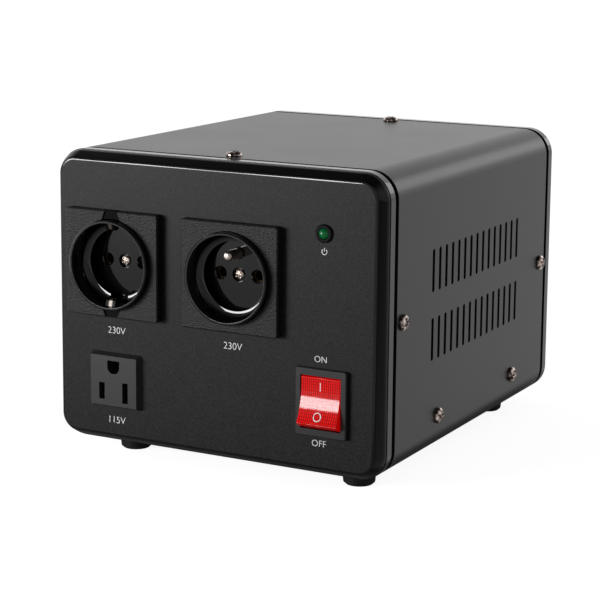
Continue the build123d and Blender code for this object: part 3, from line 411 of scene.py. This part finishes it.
# %% Bands along an axis
def banded(name, dark, light, along, pitch, rough, metallic=0.0, depth=0.05 * MM):
    """Bands across one axis, one in each pitch, a little wavy."""
    finish = Finish(name, metallic=metallic)
    ripple = finish.noise(6 * MM)
    phase = getattr(finish, along) * (2 * pi / pitch) + 1.2 * ripple
    wave = 0.5 + 0.5 * phase.math("SINE", phase)
    finish.tinted(dark, light, 0.7 * wave + 0.3 * ripple)
    finish.feed("Roughness", rough + 0.15 * ripple)
    finish.bump(wave, depth)
    return finish


core_steel = banded("core_steel", colour(52, 52, 56), colour(108, 108, 114), "y", 0.5 * MM, 0.34, 0.8)
winding_tape = banded("winding_tape", colour(150, 92, 22), colour(206, 148, 52), "z", 9 * MM, 0.24)
bobbin_nylon = banded("bobbin_nylon", colour(196, 188, 160), colour(220, 214, 190), "z", 3 * MM, 0.4)
breaker_white = banded("breaker_white", colour(222, 218, 208), colour(236, 233, 225), "z", 1.5 * MM, 0.28,
                       depth=0.004 * MM)
print("inside finishes")

# %% [markdown]
# ### Lit plastics
# The rocker is clear red plastic over fine upright ribs, with a small lamp behind it. The ribs show as
# dark and bright lines, while the outer skin stays smooth and glossy. Modelled ribs would break the
# highlight on the skin, so they are in the shader's colour and glow. The signal lamp is a green dome that
# is deeper in colour at its foot.

# %% Rocker red
rocker_low, rocker_high = (Vector(corner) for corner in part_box("switch_rocker"))
switch_x = (rocker_low.x + rocker_high.x) / 2
switch_z = (rocker_low.z + rocker_high.z) / 2
rib_pitch = 1.05 * MM
dot_pitch = 1.3 * MM
rocker_red = Finish("rocker_red", subsurface_weight=0.2, subsurface_scale=2 * MM, emission_strength=0.34,
                    specular_ior_level=0.45)
rib_phase = (rocker_red.x - switch_x) * (2 * pi / rib_pitch)
ribs = 0.5 + 0.5 * rib_phase.math("SINE", rib_phase)
dot_phase = rocker_red.z * (2 * pi / dot_pitch)
dots = 0.5 + 0.5 * dot_phase.math("SINE", dot_phase)
glow = 0.6 * ribs + 0.25 * dots + 0.15 * rocker_red.noise(3 * MM)
rocker_red.tinted(colour(110, 0, 0), colour(240, 4, 2), glow)
rocker_red.feed("Emission Color", rocker_red.mixed(glow, colour(60, 0, 0), colour(240, 4, 2)))
rocker_red.feed("Roughness", 0.07 + 0.03 * ribs)
print("rocker red, middle at", round(switch_x / MM, 2), round(switch_z / MM, 2))

# %% Lamp green
lens_low, _ = (Vector(corner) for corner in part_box("signal_lamp"))
lens_length = 3 * MM
lamp_green = Finish("lamp_green", emission_strength=0.1, specular_ior_level=0.4)
lens_depth = (lamp_green.y - lens_low.y) / lens_length
swirl = lamp_green.noise(1.2 * MM)
lens_mix = (0.8 * lens_depth + 0.3 * swirl).clamped()
lamp_green.tinted(colour(0, 84, 44), colour(0, 16, 8), lens_mix)
lamp_green.feed("Emission Color", lamp_green.mixed(lens_mix, colour(0, 200, 100), colour(0, 40, 20)))
lamp_green.feed("Roughness", 0.02 + 0.02 * swirl)
print("lamp green")

# %% Glass of the small lamp behind the rocker
glow_glass = Finish("glow_glass", transmission_weight=0.6, emission_strength=1.0)
haze = glow_glass.noise(2 * MM)
glow_glass.tinted(colour(250, 190, 150), colour(255, 220, 190), haze)
glow_glass.feed("Emission Color", glow_glass.mixed(haze, colour(250, 110, 50), colour(255, 150, 80)))
glow_glass.feed("Roughness", 0.05 + 0.1 * haze)
print("lamp glass")

# %% [markdown]
# ### Dressing the solids
# A solid whose shape is already right keeps its mesh and only gets its finish, in place of the plain
# colours it came with. The finishes could be set solid by solid. One list from finish to solids is shorter,
# and a solid that was forgotten is easy to find from it.

# %% Finishes for the solids
dressed = {
    frame_plastic: ["front_bezel", "rear_bezel"],
    cover_paint: ["cover"],
    base_paint: ["base_plate"],
    foot_rubber: ["foot_front_left", "foot_front_right", "foot_rear_left", "foot_rear_right"],
    screw_bronze: ["foot_screws", "top_cover_screws", "right_cover_screws", "left_cover_screws"],
    plate_plastic: ["left_socket_plate", "right_socket_plate"],
    guard_plastic: ["left_clip_guards"],
    well_plastic: ["left_socket_well", "right_socket_well"],
    contact_plastic: ["left_contact_base", "right_contact_base"],
    contact_brass: ["left_contact_sleeves", "right_contact_sleeves", "outlet_contacts", "switch_terminals",
                    "breaker_terminals", "earth_stud"],
    clip_nickel: ["left_earth_strap"],
    earth_nickel: ["right_earth_pin", "inlet_pins", "left_socket_screw", "right_socket_screw"],
    outlet_plastic: ["outlet_body"],
    switch_plastic: ["switch_housing"],
    rocker_red: ["switch_rocker"],
    glow_glass: ["switch_glow_lamp"],
    lamp_black: ["lamp_collar"],
    lamp_green: ["signal_lamp"],
    inlet_plastic: ["inlet_body"],
    bright_steel: ["inlet_screws", "breaker_nut", "transformer_bracket_front", "transformer_bracket_rear",
                   "core_bolts", "bracket_screws"],
    breaker_plastic: ["breaker_body"],
    breaker_white: ["breaker_button"],
    core_steel: ["transformer_core"],
    bobbin_nylon: ["transformer_bobbin"],
    winding_tape: ["primary_winding", "secondary_winding"],
}
finish_of = {name: finish for finish, names in dressed.items() for name in names}
for name, finish in finish_of.items():
    slots = nodes[name].data.materials
    slots.clear()
    slots.append(finish.material)
print("solids without a finish:", sorted(set(nodes) - set(finish_of)))


# %% [markdown]
# ## Making and placing pieces
# Every new piece rides on a body of the frame, so that it moves with it, and takes its finish. A solid
# that a piece stands in for is hidden. These lines could be written out for each piece. One function for
# all of them makes sure that none is forgotten.


# %% A new piece
def place_piece(name, mesh, finish, body, replaced=()):
    """Makes an object of a mesh and gives it its finish, its body and the solids it hides."""
    piece = bpy.data.objects.new(name, mesh)
    scene.collection.objects.link(piece)
    if not mesh.materials:
        mesh.materials.append(finish.material)
    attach(piece, body)
    if replaced:
        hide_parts(*replaced)
    print(name, "has", len(mesh.polygons), "faces")
    return piece


# %% [markdown]
# ## Rounded edges
# Moulded edges are never sharp: they catch a thin line of light. They could be rounded in the CAD solids,
# at the price of many faces. Here a copy of the solid is rounded instead. Its triangles are first joined
# into flat faces, because a bevel needs clean edges to run along, and then a bevel modifier rounds all
# sharp edges of the rocker, the frame round it and the outlet. On the end frames only one edge is rounded,
# but more, where the band turns into the rim. It is picked by its place, and only the flat triangles
# beside it are joined.

# %% A copy of a solid
same_point = 0.002 * MM
flat_angle = radians(0.5)
sharp_angle = radians(35)


def shade_up_to_edges(mesh):
    mesh.shade_smooth()
    mesh.set_sharp_from_angle(angle=sharp_angle)


def reshaped_copy(node, reshape):
    """A copy of a solid's mesh whose corners are joined and which reshape has then worked on."""
    mesh = nodes[node].data.copy()
    shape = bmesh.new()
    shape.from_mesh(mesh)
    bmesh.ops.remove_doubles(shape, verts=shape.verts, dist=same_point)
    reshape(shape)
    shape.to_mesh(mesh)
    shape.free()
    for attribute in ("custom_normal", "sharp_face"):
        if attribute in mesh.attributes:
            mesh.attributes.remove(mesh.attributes[attribute])
    shade_up_to_edges(mesh)
    return mesh


# %% All sharp edges rounded
def join_flat_faces(shape):
    bmesh.ops.dissolve_limit(shape, angle_limit=flat_angle, verts=shape.verts, edges=shape.edges)


def soften(node, name, width, segments, body="case"):
    """Stands in for a solid, with all its sharp edges rounded."""
    mesh = reshaped_copy(node, join_flat_faces)
    piece = place_piece(name, mesh, finish_of[node], body, [node])
    bevel = piece.modifiers.new("rounded edges", "BEVEL")
    bevel.width = width
    bevel.segments = segments
    bevel.limit_method = "ANGLE"
    bevel.angle_limit = radians(40)
    bevel.harden_normals = True


soften("switch_rocker", "rocker", 0.55 * MM, 3, "rocker")
soften("switch_housing", "switch_frame", 0.3 * MM, 2)
soften("outlet_body", "outlet", 0.2 * MM, 2)

# %% [markdown]
# ## Feet and mouths of the wells
# A well's wall runs into its floor in a hollow curve, and that curve draws the bright crescent at the
# bottom of each well. A bevel there would meet the slots of the earth clips, so the curve is a strip of
# its own, left out over these slots. The mouths get a thin round bead, a little paler than the rest: the
# paler grey is a painted highlight line along the edge. Both are a closed profile turned round the middle of
# the well.


# %% A profile turned round Y
def turned_mesh(name, profile, middle, arcs, steps):
    """Turns a closed profile, of radii and places along Y, over each arc, and closes the ends of an arc."""
    size = len(profile)
    corners, faces = [], []
    for begin, end in arcs:
        closed = end - begin == 2 * pi
        stations = steps if closed else steps + 1
        first = len(corners)
        for step in range(stations):
            turn = begin + (end - begin) * step / steps
            for reach, depth in profile:
                corners.append((middle.x + reach * sin(turn), depth, middle.z + reach * cos(turn)))
        for step in range(steps):
            here = first + step * size
            there = first + (step + 1) % stations * size
            for n in range(size):
                over = (n + 1) % size
                faces.append((here + n, here + over, there + over, there + n))
        if not closed:
            faces.append(tuple(range(first, first + size)))
            faces.append(tuple(range(len(corners) - size, len(corners))))
    mesh = bpy.data.meshes.new(name)
    mesh.from_pydata(corners, [], faces)
    shape = bmesh.new()
    shape.from_mesh(mesh)
    bmesh.ops.recalc_face_normals(shape, faces=shape.faces)
    shape.to_mesh(mesh)
    shape.free()
    shade_up_to_edges(mesh)
    return mesh


# %% Measures of a well
ring_depth = 0.05 * MM
wall_from = 8 * MM
wall_radii = (18 * MM, 20.3 * MM)


def ring_of(corner, middle):
    """How far a corner lies from the middle of a well, and its place along Y."""
    return Vector((corner.x - middle.x, corner.z - middle.z)).length, corner.y


def foot_of(node, low, middle):
    """The radius of a well's wall where it meets the floor, and the place of that floor along Y."""
    deep = [vertex.co for vertex in nodes[node].data.vertices if vertex.co.y > low.y + wall_from]
    rings = [ring_of(corner, middle) for corner in deep]
    wall = [ring for ring in rings if wall_radii[0] < ring[0] < wall_radii[1]]
    floor_y = min(depth for reach, depth in wall)
    return min(reach for reach, depth in wall if depth < floor_y + ring_depth), floor_y


# %% Hollow curves and beads
full_turn = [(0, 2 * pi)]
clip_gap = radians(17)
between_clips = [(clip_gap, pi - clip_gap), (pi + clip_gap, 2 * pi - clip_gap)]


def foot_curve(node, name, arcs, radius=3.6 * MM, sunk=0.2 * MM, steps=96, bends=8):
    """The hollow curve between a well's wall and its floor, with its back sunk into both."""
    low, high = (Vector(corner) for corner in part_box(node))
    middle = (low + high) / 2
    wall_radius, floor_y = foot_of(node, low, middle)
    leans = [pi / 2 * bend / bends for bend in range(bends + 1)]
    profile = [(wall_radius - radius * (1 - cos(lean)), floor_y - radius * (1 - sin(lean))) for lean in leans]
    profile.append((wall_radius + sunk, floor_y + sunk))
    print(node, "floor at", round(floor_y / MM, 2), "wall radius", round(wall_radius / MM, 2))
    mesh = turned_mesh(name, profile, middle, arcs, steps)
    place_piece(name, mesh, well_plastic, "case")


def lip_edge(node, name, tube=0.2 * MM, steps=120, sides=12):
    """The bead round the mouth of a well, paler as a painted highlight line, half of it proud of the wall."""
    low, high = (Vector(corner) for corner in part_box(node))
    middle = (low + high) / 2
    crest = [vertex.co for vertex in nodes[node].data.vertices if vertex.co.y < low.y + ring_depth]
    mouth = min(ring_of(corner, middle)[0] for corner in crest)
    leans = [2 * pi * side / sides for side in range(sides)]
    profile = [(mouth + tube * sin(lean), low.y + tube * (1 - cos(lean))) for lean in leans]
    print(node, "mouth radius", round(mouth / MM, 2))
    mesh = turned_mesh(name, profile, middle, full_turn, steps)
    place_piece(name, mesh, lip_highlight_plastic, "case")


foot_curve("left_socket_well", "left_well_foot", between_clips)
foot_curve("right_socket_well", "right_well_foot", full_turn)
lip_edge("left_socket_well", "left_well_lip")
lip_edge("right_socket_well", "right_well_lip")

# %% Frames with a rounded rim
rim_depth = 5.1 * MM
rim_round = 1.1 * MM
rim_bends = 6


def round_rim(node, name, depth):
    """Stands in for a frame, with the outward edges that lie at one place along Y rounded."""

    def is_rim(line):
        level = all(abs(end.co.y - depth) < 0.1 * MM for end in line.verts)
        return level and line.calc_face_angle_signed() > radians(20)

    def bevel_rim(shape):
        rim = [line for line in shape.edges if is_rim(line)]
        beside = {line for one in rim for end in one.verts for line in end.link_edges}
        flat = [line for line in shape.edges if line in beside and line.calc_face_angle() < flat_angle]
        bmesh.ops.dissolve_edges(shape, edges=flat)
        bmesh.ops.bevel(shape, geom=rim, offset=rim_round, segments=rim_bends, profile=0.5, affect="EDGES")
        print(name, "has", len(rim), "edges in its rim")

    mesh = reshaped_copy(node, bevel_rim)
    piece = place_piece(name, mesh, finish_of[node], "case", [node])
    piece.modifiers.new("even normals", "WEIGHTED_NORMAL").keep_sharp = True


round_rim("front_bezel", "front_frame", front_y + rim_depth)
round_rim("rear_bezel", "rear_frame", rear_y - rim_depth)

# %% [markdown]
# ## Pan-head screws
# The case is held by bronze pan-head screws with a cross recess, and the same form, smaller and bright,
# holds the socket wells. A cut through each head would leave ragged edges on so small a dome. What repeats
# is made by one geometry tree instead: a grid is wrapped into a turned profile, its middle is pressed in
# along a cross, and the screw is set on points that carry a direction and a turn.

# %% One screw
around, rings = 64, 24
row_starts = {"dome": 0, "side": 16, "seat": 18, "shank": 20, "tip": 22, "end": rings}
recess_slope = 0.12 * MM


def recess_arm(size, along, across):
    """1 in one arm of the cross recess and 0 outside it, with sloped walls."""
    in_length = (size["Recess Length"] / 2 - abs(along)).rise(-recess_slope, recess_slope)
    in_width = (size["Recess Width"] / 2 - abs(across)).rise(-recess_slope, recess_slope)
    return in_length * in_width


def turned_screw(graph, size):
    """A grid whose rows become the dome, the side, the seat, the shank and the tip of a screw."""
    grid = graph.node("GeometryNodeMeshGrid", inputs={
        "Size X": 1.0, "Size Y": 1.0, "Vertices X": around + 1, "Vertices Y": rings + 1})
    across, along, _ = graph.split(graph.node("GeometryNodeInputPosition").outputs[0])
    ring = (along + 0.5) * rings
    starts = list(row_starts.values())
    dome, side, seat, shank, tip = (ring.rise(*pair) for pair in zip(starts, starts[1:]))
    angle = dome * (pi / 2)
    radius = size["Head Radius"] * angle.math("SINE", angle) * (1 - seat)
    radius = radius + size["Shank Radius"] * seat * (1 - tip)
    rise = (size["Head Height"] - size["Head Side"]) * angle.math("COSINE", angle)
    rise = rise * (1 - side) + size["Head Side"] * (1 - side) - size["Shank Length"] * shank
    turn = (across + 0.5) * (-2 * pi)
    x = radius * turn.math("COSINE", turn)
    y = radius * turn.math("SINE", turn)
    recess = recess_arm(size, x, y).either(recess_arm(size, y, x))
    rise = rise - size["Recess Depth"] * recess * (1 - side)
    placed = {"Geometry": grid.outputs[0], "Position": graph.vector(x, y, rise)}
    turned = graph.node("GeometryNodeSetPosition", inputs=placed)
    seam = {"Geometry": turned.outputs[0], "Distance": 0.005 * MM}
    closed = graph.node("GeometryNodeMergeByDistance", inputs=seam)
    return graph.node("GeometryNodeSetShadeSmooth", inputs={"Geometry": closed.outputs[0]}).outputs[0]


# %% Tree that sets a screw on every point
def screw_tree(finish, labels):
    tree = bpy.data.node_groups.new("pan_head_screws", "GeometryNodeTree")
    tree.interface.new_socket("Points", in_out="INPUT", socket_type="NodeSocketGeometry")
    for label in labels:
        tree.interface.new_socket(label, in_out="INPUT", socket_type="NodeSocketFloat")
    tree.interface.new_socket("Screws", in_out="OUTPUT", socket_type="NodeSocketGeometry")
    graph = Graph(tree)
    given = graph.node("NodeGroupInput")
    screw = turned_screw(graph, {label: Signal(graph, given.outputs[label]) for label in labels})
    aim = graph.node("GeometryNodeInputNamedAttribute", {"data_type": "FLOAT_VECTOR"}, {"Name": "aim"})
    spin = graph.signal("GeometryNodeInputNamedAttribute", {"data_type": "FLOAT"}, {"Name": "spin"})
    start = graph.node("FunctionNodeEulerToRotation", inputs={0: graph.vector(0.0, 0.0, spin)})
    facing = graph.node("FunctionNodeAlignRotationToVector", {"axis": "Z"}, {
        "Rotation": start.outputs[0], "Vector": aim.outputs[0]})
    placed = graph.node("GeometryNodeInstanceOnPoints", inputs={
        "Points": given.outputs["Points"], "Instance": screw, "Rotation": facing.outputs[0]})
    real = graph.node("GeometryNodeRealizeInstances", inputs={"Geometry": placed.outputs[0]})
    painted = graph.node("GeometryNodeSetMaterial", inputs={
        "Geometry": real.outputs[0], "Material": finish.material})
    graph.node("NodeGroupOutput", inputs={0: painted.outputs[0]})
    return tree


# %% Screws on a set of seats
def screws(name, finish, seats, sizes, replaced):
    """Runs the tree on points, each with a place, a direction and a turn, and keeps a plain mesh."""
    places, aims, spins = zip(*seats)
    points = bpy.data.meshes.new(name + "_points")
    points.from_pydata(places, [], [])
    aim = points.attributes.new("aim", "FLOAT_VECTOR", "POINT")
    aim.data.foreach_set("vector", [part for direction in aims for part in direction])
    points.attributes.new("spin", "FLOAT", "POINT").data.foreach_set("value", spins)
    carrier = bpy.data.objects.new(name + "_points", points)
    scene.collection.objects.link(carrier)
    modifier = carrier.modifiers.new("screws", "NODES")
    modifier.node_group = screw_tree(finish, sizes)
    for item in modifier.node_group.interface.items_tree:
        if item.name in sizes:
            modifier[item.identifier] = sizes[item.name]
    evaluated = carrier.evaluated_get(bpy.context.evaluated_depsgraph_get())
    mesh = bpy.data.meshes.new_from_object(evaluated)
    bpy.data.objects.remove(carrier)
    place_piece(name, mesh, finish, "case", replaced)


# %% [markdown]
# ### Seats of the screws
# Each screw sits where its plain solid is. The places could be written down, but would be wrong after the
# next change of size, so they are read from the solids: each separate screw in a group is found by
# following its joined corners, and its seat is the middle of its box, moved to the sheet. The turns
# differ from screw to screw, because nobody lines them up.


# %% Find the seats
def islands(node):
    """The boxes of the separate solids in one node, from front to back, then from low to high."""
    shape = bmesh.new()
    shape.from_mesh(nodes[node].data)
    bmesh.ops.remove_doubles(shape, verts=shape.verts, dist=same_point)
    left = set(shape.verts)
    boxes = []
    while left:
        reached = [left.pop()]
        for vertex in reached:
            fresh = {edge.other_vert(vertex) for edge in vertex.link_edges} & left
            left -= fresh
            reached.extend(fresh)
        along_axes = list(zip(*(vertex.co for vertex in reached)))
        boxes.append([Vector([pick(values) for values in along_axes]) for pick in (min, max)])
    shape.free()
    return sorted(boxes, key=lambda pair: [round(pair[0][axis], 3) for axis in (1, 2, 0)])


first_turn, next_turn = 0.5, 1.3


def seats_of(node, aim, head_height):
    """Where each screw of a node meets its sheet, seen along the way it faces."""
    aim = Vector(aim)
    axis = max(range(3), key=lambda n: abs(aim[n]))
    seats = []
    for number, (low, high) in enumerate(islands(node)):
        place = (low + high) / 2
        place[axis] = (high if aim[axis] > 0 else low)[axis] - aim[axis] * head_height
        seats.append((place, aim, first_turn + next_turn * number))
    return seats


# %% Screws of the case and the inlet
case_head = 2.5 * MM
case_screw_sizes = {
    "Head Radius": 3.8 * MM, "Head Height": case_head, "Head Side": 0.7 * MM, "Shank Radius": 1.6 * MM,
    "Shank Length": 9 * MM, "Recess Length": 4.4 * MM, "Recess Width": 1.0 * MM, "Recess Depth": 1.3 * MM,
}
case_seats = (
    seats_of("top_cover_screws", (0, 0, 1), case_head)
    + seats_of("right_cover_screws", (1, 0, 0), case_head)
    + seats_of("left_cover_screws", (-1, 0, 0), case_head)
)
screws("cover_screws", screw_bronze, case_seats, case_screw_sizes,
       ["top_cover_screws", "right_cover_screws", "left_cover_screws"])
screws("inlet_fixings", bright_steel, seats_of("inlet_screws", (0, 1, 0), case_head), case_screw_sizes,
       ["inlet_screws"])

# %% Screws in the wells
well_head = 1.8 * MM
well_screw_sizes = {
    "Head Radius": 2.4 * MM, "Head Height": well_head, "Head Side": 0.5 * MM, "Shank Radius": 1.4 * MM,
    "Shank Length": 10 * MM, "Recess Length": 3.0 * MM, "Recess Width": 0.7 * MM, "Recess Depth": 0.9 * MM,
}
well_seats = (
    seats_of("left_socket_screw", (0, -1, 0), well_head)
    + seats_of("right_socket_screw", (0, -1, 0), well_head)
)
screws("well_screws", earth_nickel, well_seats, well_screw_sizes,
       ["left_socket_screw", "right_socket_screw"])

# %% [markdown]
# ## Printed marks
# The panel is screen printed in white: a voltage under each outlet, ON and OFF round the switch, and a
# plain symbol under the lamp. A picture of the words would blur when seen close. A text object gives clean
# outlines; it is made a flat mesh, scaled by its own measured height and laid a hair in front of the
# panel. The rocker's bar and ring lie on a curved face, so their corners are cast onto it.

# %% White ink
ink = Finish("white_ink", specular_ior_level=0.4)
edge_wear = ink.noise(0.8 * MM, 3)
ink.tinted(colour(222, 222, 222), colour(248, 248, 246), edge_wear)
ink.feed("Roughness", 0.45 + 0.2 * edge_wear)
ink.bump(edge_wear, 0.01 * MM)
ink_lift = 0.03 * MM
stroke_offset = -0.009


# %% Words on the panel
def printed(name, words, x, z, height):
    """Words centred on x and z, with capitals of the height asked for and strokes a little thinned."""
    text = bpy.data.curves.new(name, "FONT")
    text.body = words
    text.align_x = "CENTER"
    text.resolution_u = 6
    text.offset = stroke_offset
    holder = bpy.data.objects.new(name + "_text", text)
    scene.collection.objects.link(holder)
    mesh = bpy.data.meshes.new_from_object(holder.evaluated_get(bpy.context.evaluated_depsgraph_get()))
    bpy.data.objects.remove(holder)
    highs = [vertex.co.y for vertex in mesh.vertices]
    wides = [vertex.co.x for vertex in mesh.vertices]
    scale = height / (max(highs) - min(highs))
    middle = Vector(((min(wides) + max(wides)) / 2, (min(highs) + max(highs)) / 2, 0))
    stand = Matrix(((1, 0, 0, x), (0, 0, -1, front_y - ink_lift), (0, 1, 0, z), (0, 0, 0, 1)))
    mesh.transform(stand @ Matrix.Diagonal((scale, scale, scale, 1)) @ Matrix.Translation(-middle))
    place_piece(name, mesh, ink, "case")


def middle_of(node):
    low, high = (Vector(corner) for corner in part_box(node))
    return (low + high) / 2


left_socket_x = middle_of("left_socket_plate").x
right_socket_x = middle_of("right_socket_plate").x
flat_outlet_x = middle_of("outlet_body").x
panel_words = {
    "mark_left_voltage": dict(words="230V", x=left_socket_x, z=middle_z - 14.3 * MM, height=3.2 * MM),
    "mark_right_voltage": dict(words="230V", x=right_socket_x, z=middle_z - 14.4 * MM, height=3.2 * MM),
    "mark_outlet_voltage": dict(words="115V", x=flat_outlet_x, z=middle_z - 57.4 * MM, height=3.2 * MM),
    "mark_on": dict(words="ON", x=55.8 * MM, z=middle_z - 15.1 * MM, height=2.8 * MM),
    "mark_off": dict(words="OFF", x=55.4 * MM, z=middle_z - 53.5 * MM, height=2.9 * MM),
}
for name, mark in panel_words.items():
    printed(name, **mark)


# %% Bars and rings
def ring_mesh(name, radius, width, gap=0.0, steps=48):
    """A flat ring in X and Z round the origin, open at its top by the gap, an angle."""
    outline = []
    for step in range(steps + 1):
        angle = pi / 2 + gap / 2 + (2 * pi - gap) * step / steps
        spoke = Vector((cos(angle), 0, sin(angle)))
        outline.append([spoke * (radius - width / 2), spoke * (radius + width / 2)])
    mesh = bpy.data.meshes.new(name)
    corners = [corner for pair in outline for corner in pair]
    faces = [(2 * n, 2 * n + 2, 2 * n + 3, 2 * n + 1) for n in range(steps)]
    mesh.from_pydata(corners, [], faces)
    return mesh


def bar_mesh(name, width, height, steps=12):
    """A flat upright bar in X and Z round the origin, with enough rungs to follow a curved face."""
    mesh = bpy.data.meshes.new(name)
    levels = [height * (step / steps - 0.5) for step in range(steps + 1)]
    rungs = [[(-width / 2, 0, level), (width / 2, 0, level)] for level in levels]
    faces = [(2 * n, 2 * n + 1, 2 * n + 3, 2 * n + 2) for n in range(steps)]
    mesh.from_pydata([corner for rung in rungs for corner in rung], [], faces)
    return mesh


def merged(mesh, *others):
    """Joins flat marks into one mesh whose faces look towards the viewer."""
    shape = bmesh.new()
    for part in (mesh, *others):
        shape.from_mesh(part)
    bmesh.ops.remove_doubles(shape, verts=shape.verts, dist=0.001 * MM)
    for face in shape.faces:
        face.normal_update()
        if face.normal.y > 0:
            face.normal_flip()
    shape.to_mesh(mesh)
    shape.free()
    return mesh


# %% Symbol under the lamp
lamp_x = middle_of("signal_lamp").x
symbol_stroke = 0.35 * MM
symbol_ring = ring_mesh("mark_lamp", 1.25 * MM, symbol_stroke, gap=radians(80))
symbol_bar = bar_mesh("mark_lamp_bar", symbol_stroke, 1.5 * MM)
symbol_bar.transform(Matrix.Translation((0, 0, 1.0 * MM)))
symbol = merged(symbol_ring, symbol_bar)
symbol.transform(Matrix.Translation((lamp_x, front_y - ink_lift, middle_z + 33.2 * MM)))
place_piece("mark_lamp", symbol, ink, "case")

# %% Marks on the rocker
rocker_stroke = 0.42 * MM
marks_x = switch_x - 0.2 * MM
start_y = front_y - 100 * MM
rocker_skin = BVHTree.FromPolygons(
    [vertex.co for vertex in nodes["switch_rocker"].data.vertices],
    [polygon.vertices for polygon in nodes["switch_rocker"].data.polygons],
)


def cast_on_rocker(name, mesh, x, z):
    """Lays a flat mark on the rocker's curved face."""
    for vertex in mesh.vertices:
        start = Vector((vertex.co.x + x, start_y, vertex.co.z + z))
        hit, _, _, _ = rocker_skin.ray_cast(start, Vector((0, 1, 0)))
        vertex.co = hit - Vector((0, ink_lift, 0))
    place_piece(name, mesh, ink, "rocker")


rocker_bar = merged(bar_mesh("mark_bar", rocker_stroke, 3.9 * MM))
rocker_ring = merged(ring_mesh("mark_ring", 1.75 * MM, rocker_stroke))
cast_on_rocker("mark_bar", rocker_bar, marks_x, switch_z + 7.4 * MM)
cast_on_rocker("mark_ring", rocker_ring, marks_x, switch_z - 5.6 * MM)

# %% [markdown]
# ## Light
# The photograph is lit softly on a white sweep: bright behind the case, so that its top and side mirror
# white at a low angle, and dimmer in front and overhead. Many lamps could build that up. One sky whose
# level follows direction is simpler. A softbox at the front left draws the bright band on the rocker and
# the thin line along the frame's edge, and a weak one behind right lifts the far side. The camera and
# clear pieces see the sky as white, and glossy pieces mirror a share of that white from behind the case.

# %% Sky
world = bpy.data.worlds.new("studio")
world.use_nodes = True
scene.world = world
sky = Graph(world.node_tree)
world.node_tree.nodes.clear()
_, sky_y, sky_z = sky.split(sky.node("ShaderNodeTexCoord").outputs["Generated"])
behind = sky_y.rise(-0.5, 0.3)
overhead = sky_z.rise(0.45, 0.85)
soft_level = (0.3 + 0.5 * behind) * (1 - 0.9 * overhead)


def rays(graph, *kinds):
    """1 for light rays of any of the kinds, as the Light Path node names them."""
    path = graph.node("ShaderNodeLightPath")
    found = Signal(graph, path.outputs[f"Is {kinds[0]} Ray"])
    for kind in kinds[1:]:
        found = found.either(path.outputs[f"Is {kind} Ray"])
    return found


sky_mirrored = 0.3 * rays(sky, "Glossy") * behind * (1 - overhead)
white_share = rays(sky, "Camera", "Transmission").either(sky_mirrored)
level_seen = soft_level * (1 - white_share) + white_share
background = sky.node("ShaderNodeBackground", inputs={"Color": (1, 1, 1, 1), "Strength": level_seen})
sky.node("ShaderNodeOutputWorld", inputs={"Surface": background.outputs[0]})
print("sky ready")


# %% Softboxes
def softbox(name, azimuth, elevation, distance, width, height, watts):
    """A rectangle of light that looks at the middle of the front, azimuth 0 straight in front of it."""
    lamp_data = bpy.data.lights.new(name, "AREA")
    lamp_data.shape = "RECTANGLE"
    lamp_data.size = width
    lamp_data.size_y = height
    lamp_data.energy = watts
    target = Vector((0, front_y, middle_z))
    turn, lift = radians(azimuth), radians(elevation)
    direction = Vector((sin(turn) * cos(lift), -cos(turn) * cos(lift), sin(lift)))
    box = bpy.data.objects.new(name, lamp_data)
    box.location = target + direction * distance
    box.rotation_euler = direction.to_track_quat("Z", "Y").to_euler()
    box.visible_camera = False
    scene.collection.objects.link(box)
    print(name, [round(part, 2) for part in box.location])


softbox("front_softbox", azimuth=-37, elevation=9, distance=1.2, width=0.64, height=0.34, watts=11.5)
softbox("rear_softbox", azimuth=150, elevation=18, distance=1.4, width=0.8, height=0.4, watts=1.2)

# %% [markdown]
# ## Floor
# The sweep is a wide plain sheet. White paint under these lamps would come out grey here and there, so
# the camera and clear pieces see it glow white, and a rough grey under the glow takes the shadow of the
# case. Glossy pieces mirror a dimmer glow beside, behind and well in front of the case, and none close
# to its front, where the case shades the sheet.

# %% Floor
span = 6.0
sheet_colour = 0.4
white_glow = 0.9
mirrored_glow = 0.5
glow_ahead = 0.3
side_ramp, along_ramp, rear_ramp = (0.089, 0.1), (-0.13, -0.09), (0.1, 0.2)
ahead_ramp = (front_y - 0.12, front_y - 0.06)

sweep = Finish("white_sweep", specular_ior_level=0.0)
sweep.shader.inputs["Base Color"].default_value = (sheet_colour, sheet_colour, sheet_colour, 1)
sweep.feed("Roughness", 0.8 + 0.1 * sweep.noise(0.3))
beside = abs(sweep.x).rise(*side_ramp) * sweep.y.rise(*along_ramp)
ahead = glow_ahead * (1 - sweep.y.rise(*ahead_ramp))
round_case = beside.either(sweep.y.rise(*rear_ramp)).either(ahead)
floor_mirrored = mirrored_glow * rays(sweep, "Glossy") * round_case
strength = (white_glow * rays(sweep, "Camera", "Transmission")).either(floor_mirrored)
glow_node = sweep.node("ShaderNodeEmission", inputs={"Color": (1, 1, 1, 1), "Strength": strength})
both = sweep.node("ShaderNodeAddShader", inputs={0: sweep.shader.outputs[0], 1: glow_node.outputs[0]})
sweep.join(sweep.tree.nodes["Material Output"].inputs["Surface"], both.outputs[0])

floor_mesh = bpy.data.meshes.new("floor")
corners = [(-span, -span, 0), (span, -span, 0), (span, span, 0), (-span, span, 0)]
floor_mesh.from_pydata(corners, [], [(0, 1, 2, 3)])
floor_mesh.materials.append(sweep.material)
floor = bpy.data.objects.new("floor", floor_mesh)
scene.collection.objects.link(floor)
print("floor", 2 * span, "m wide")
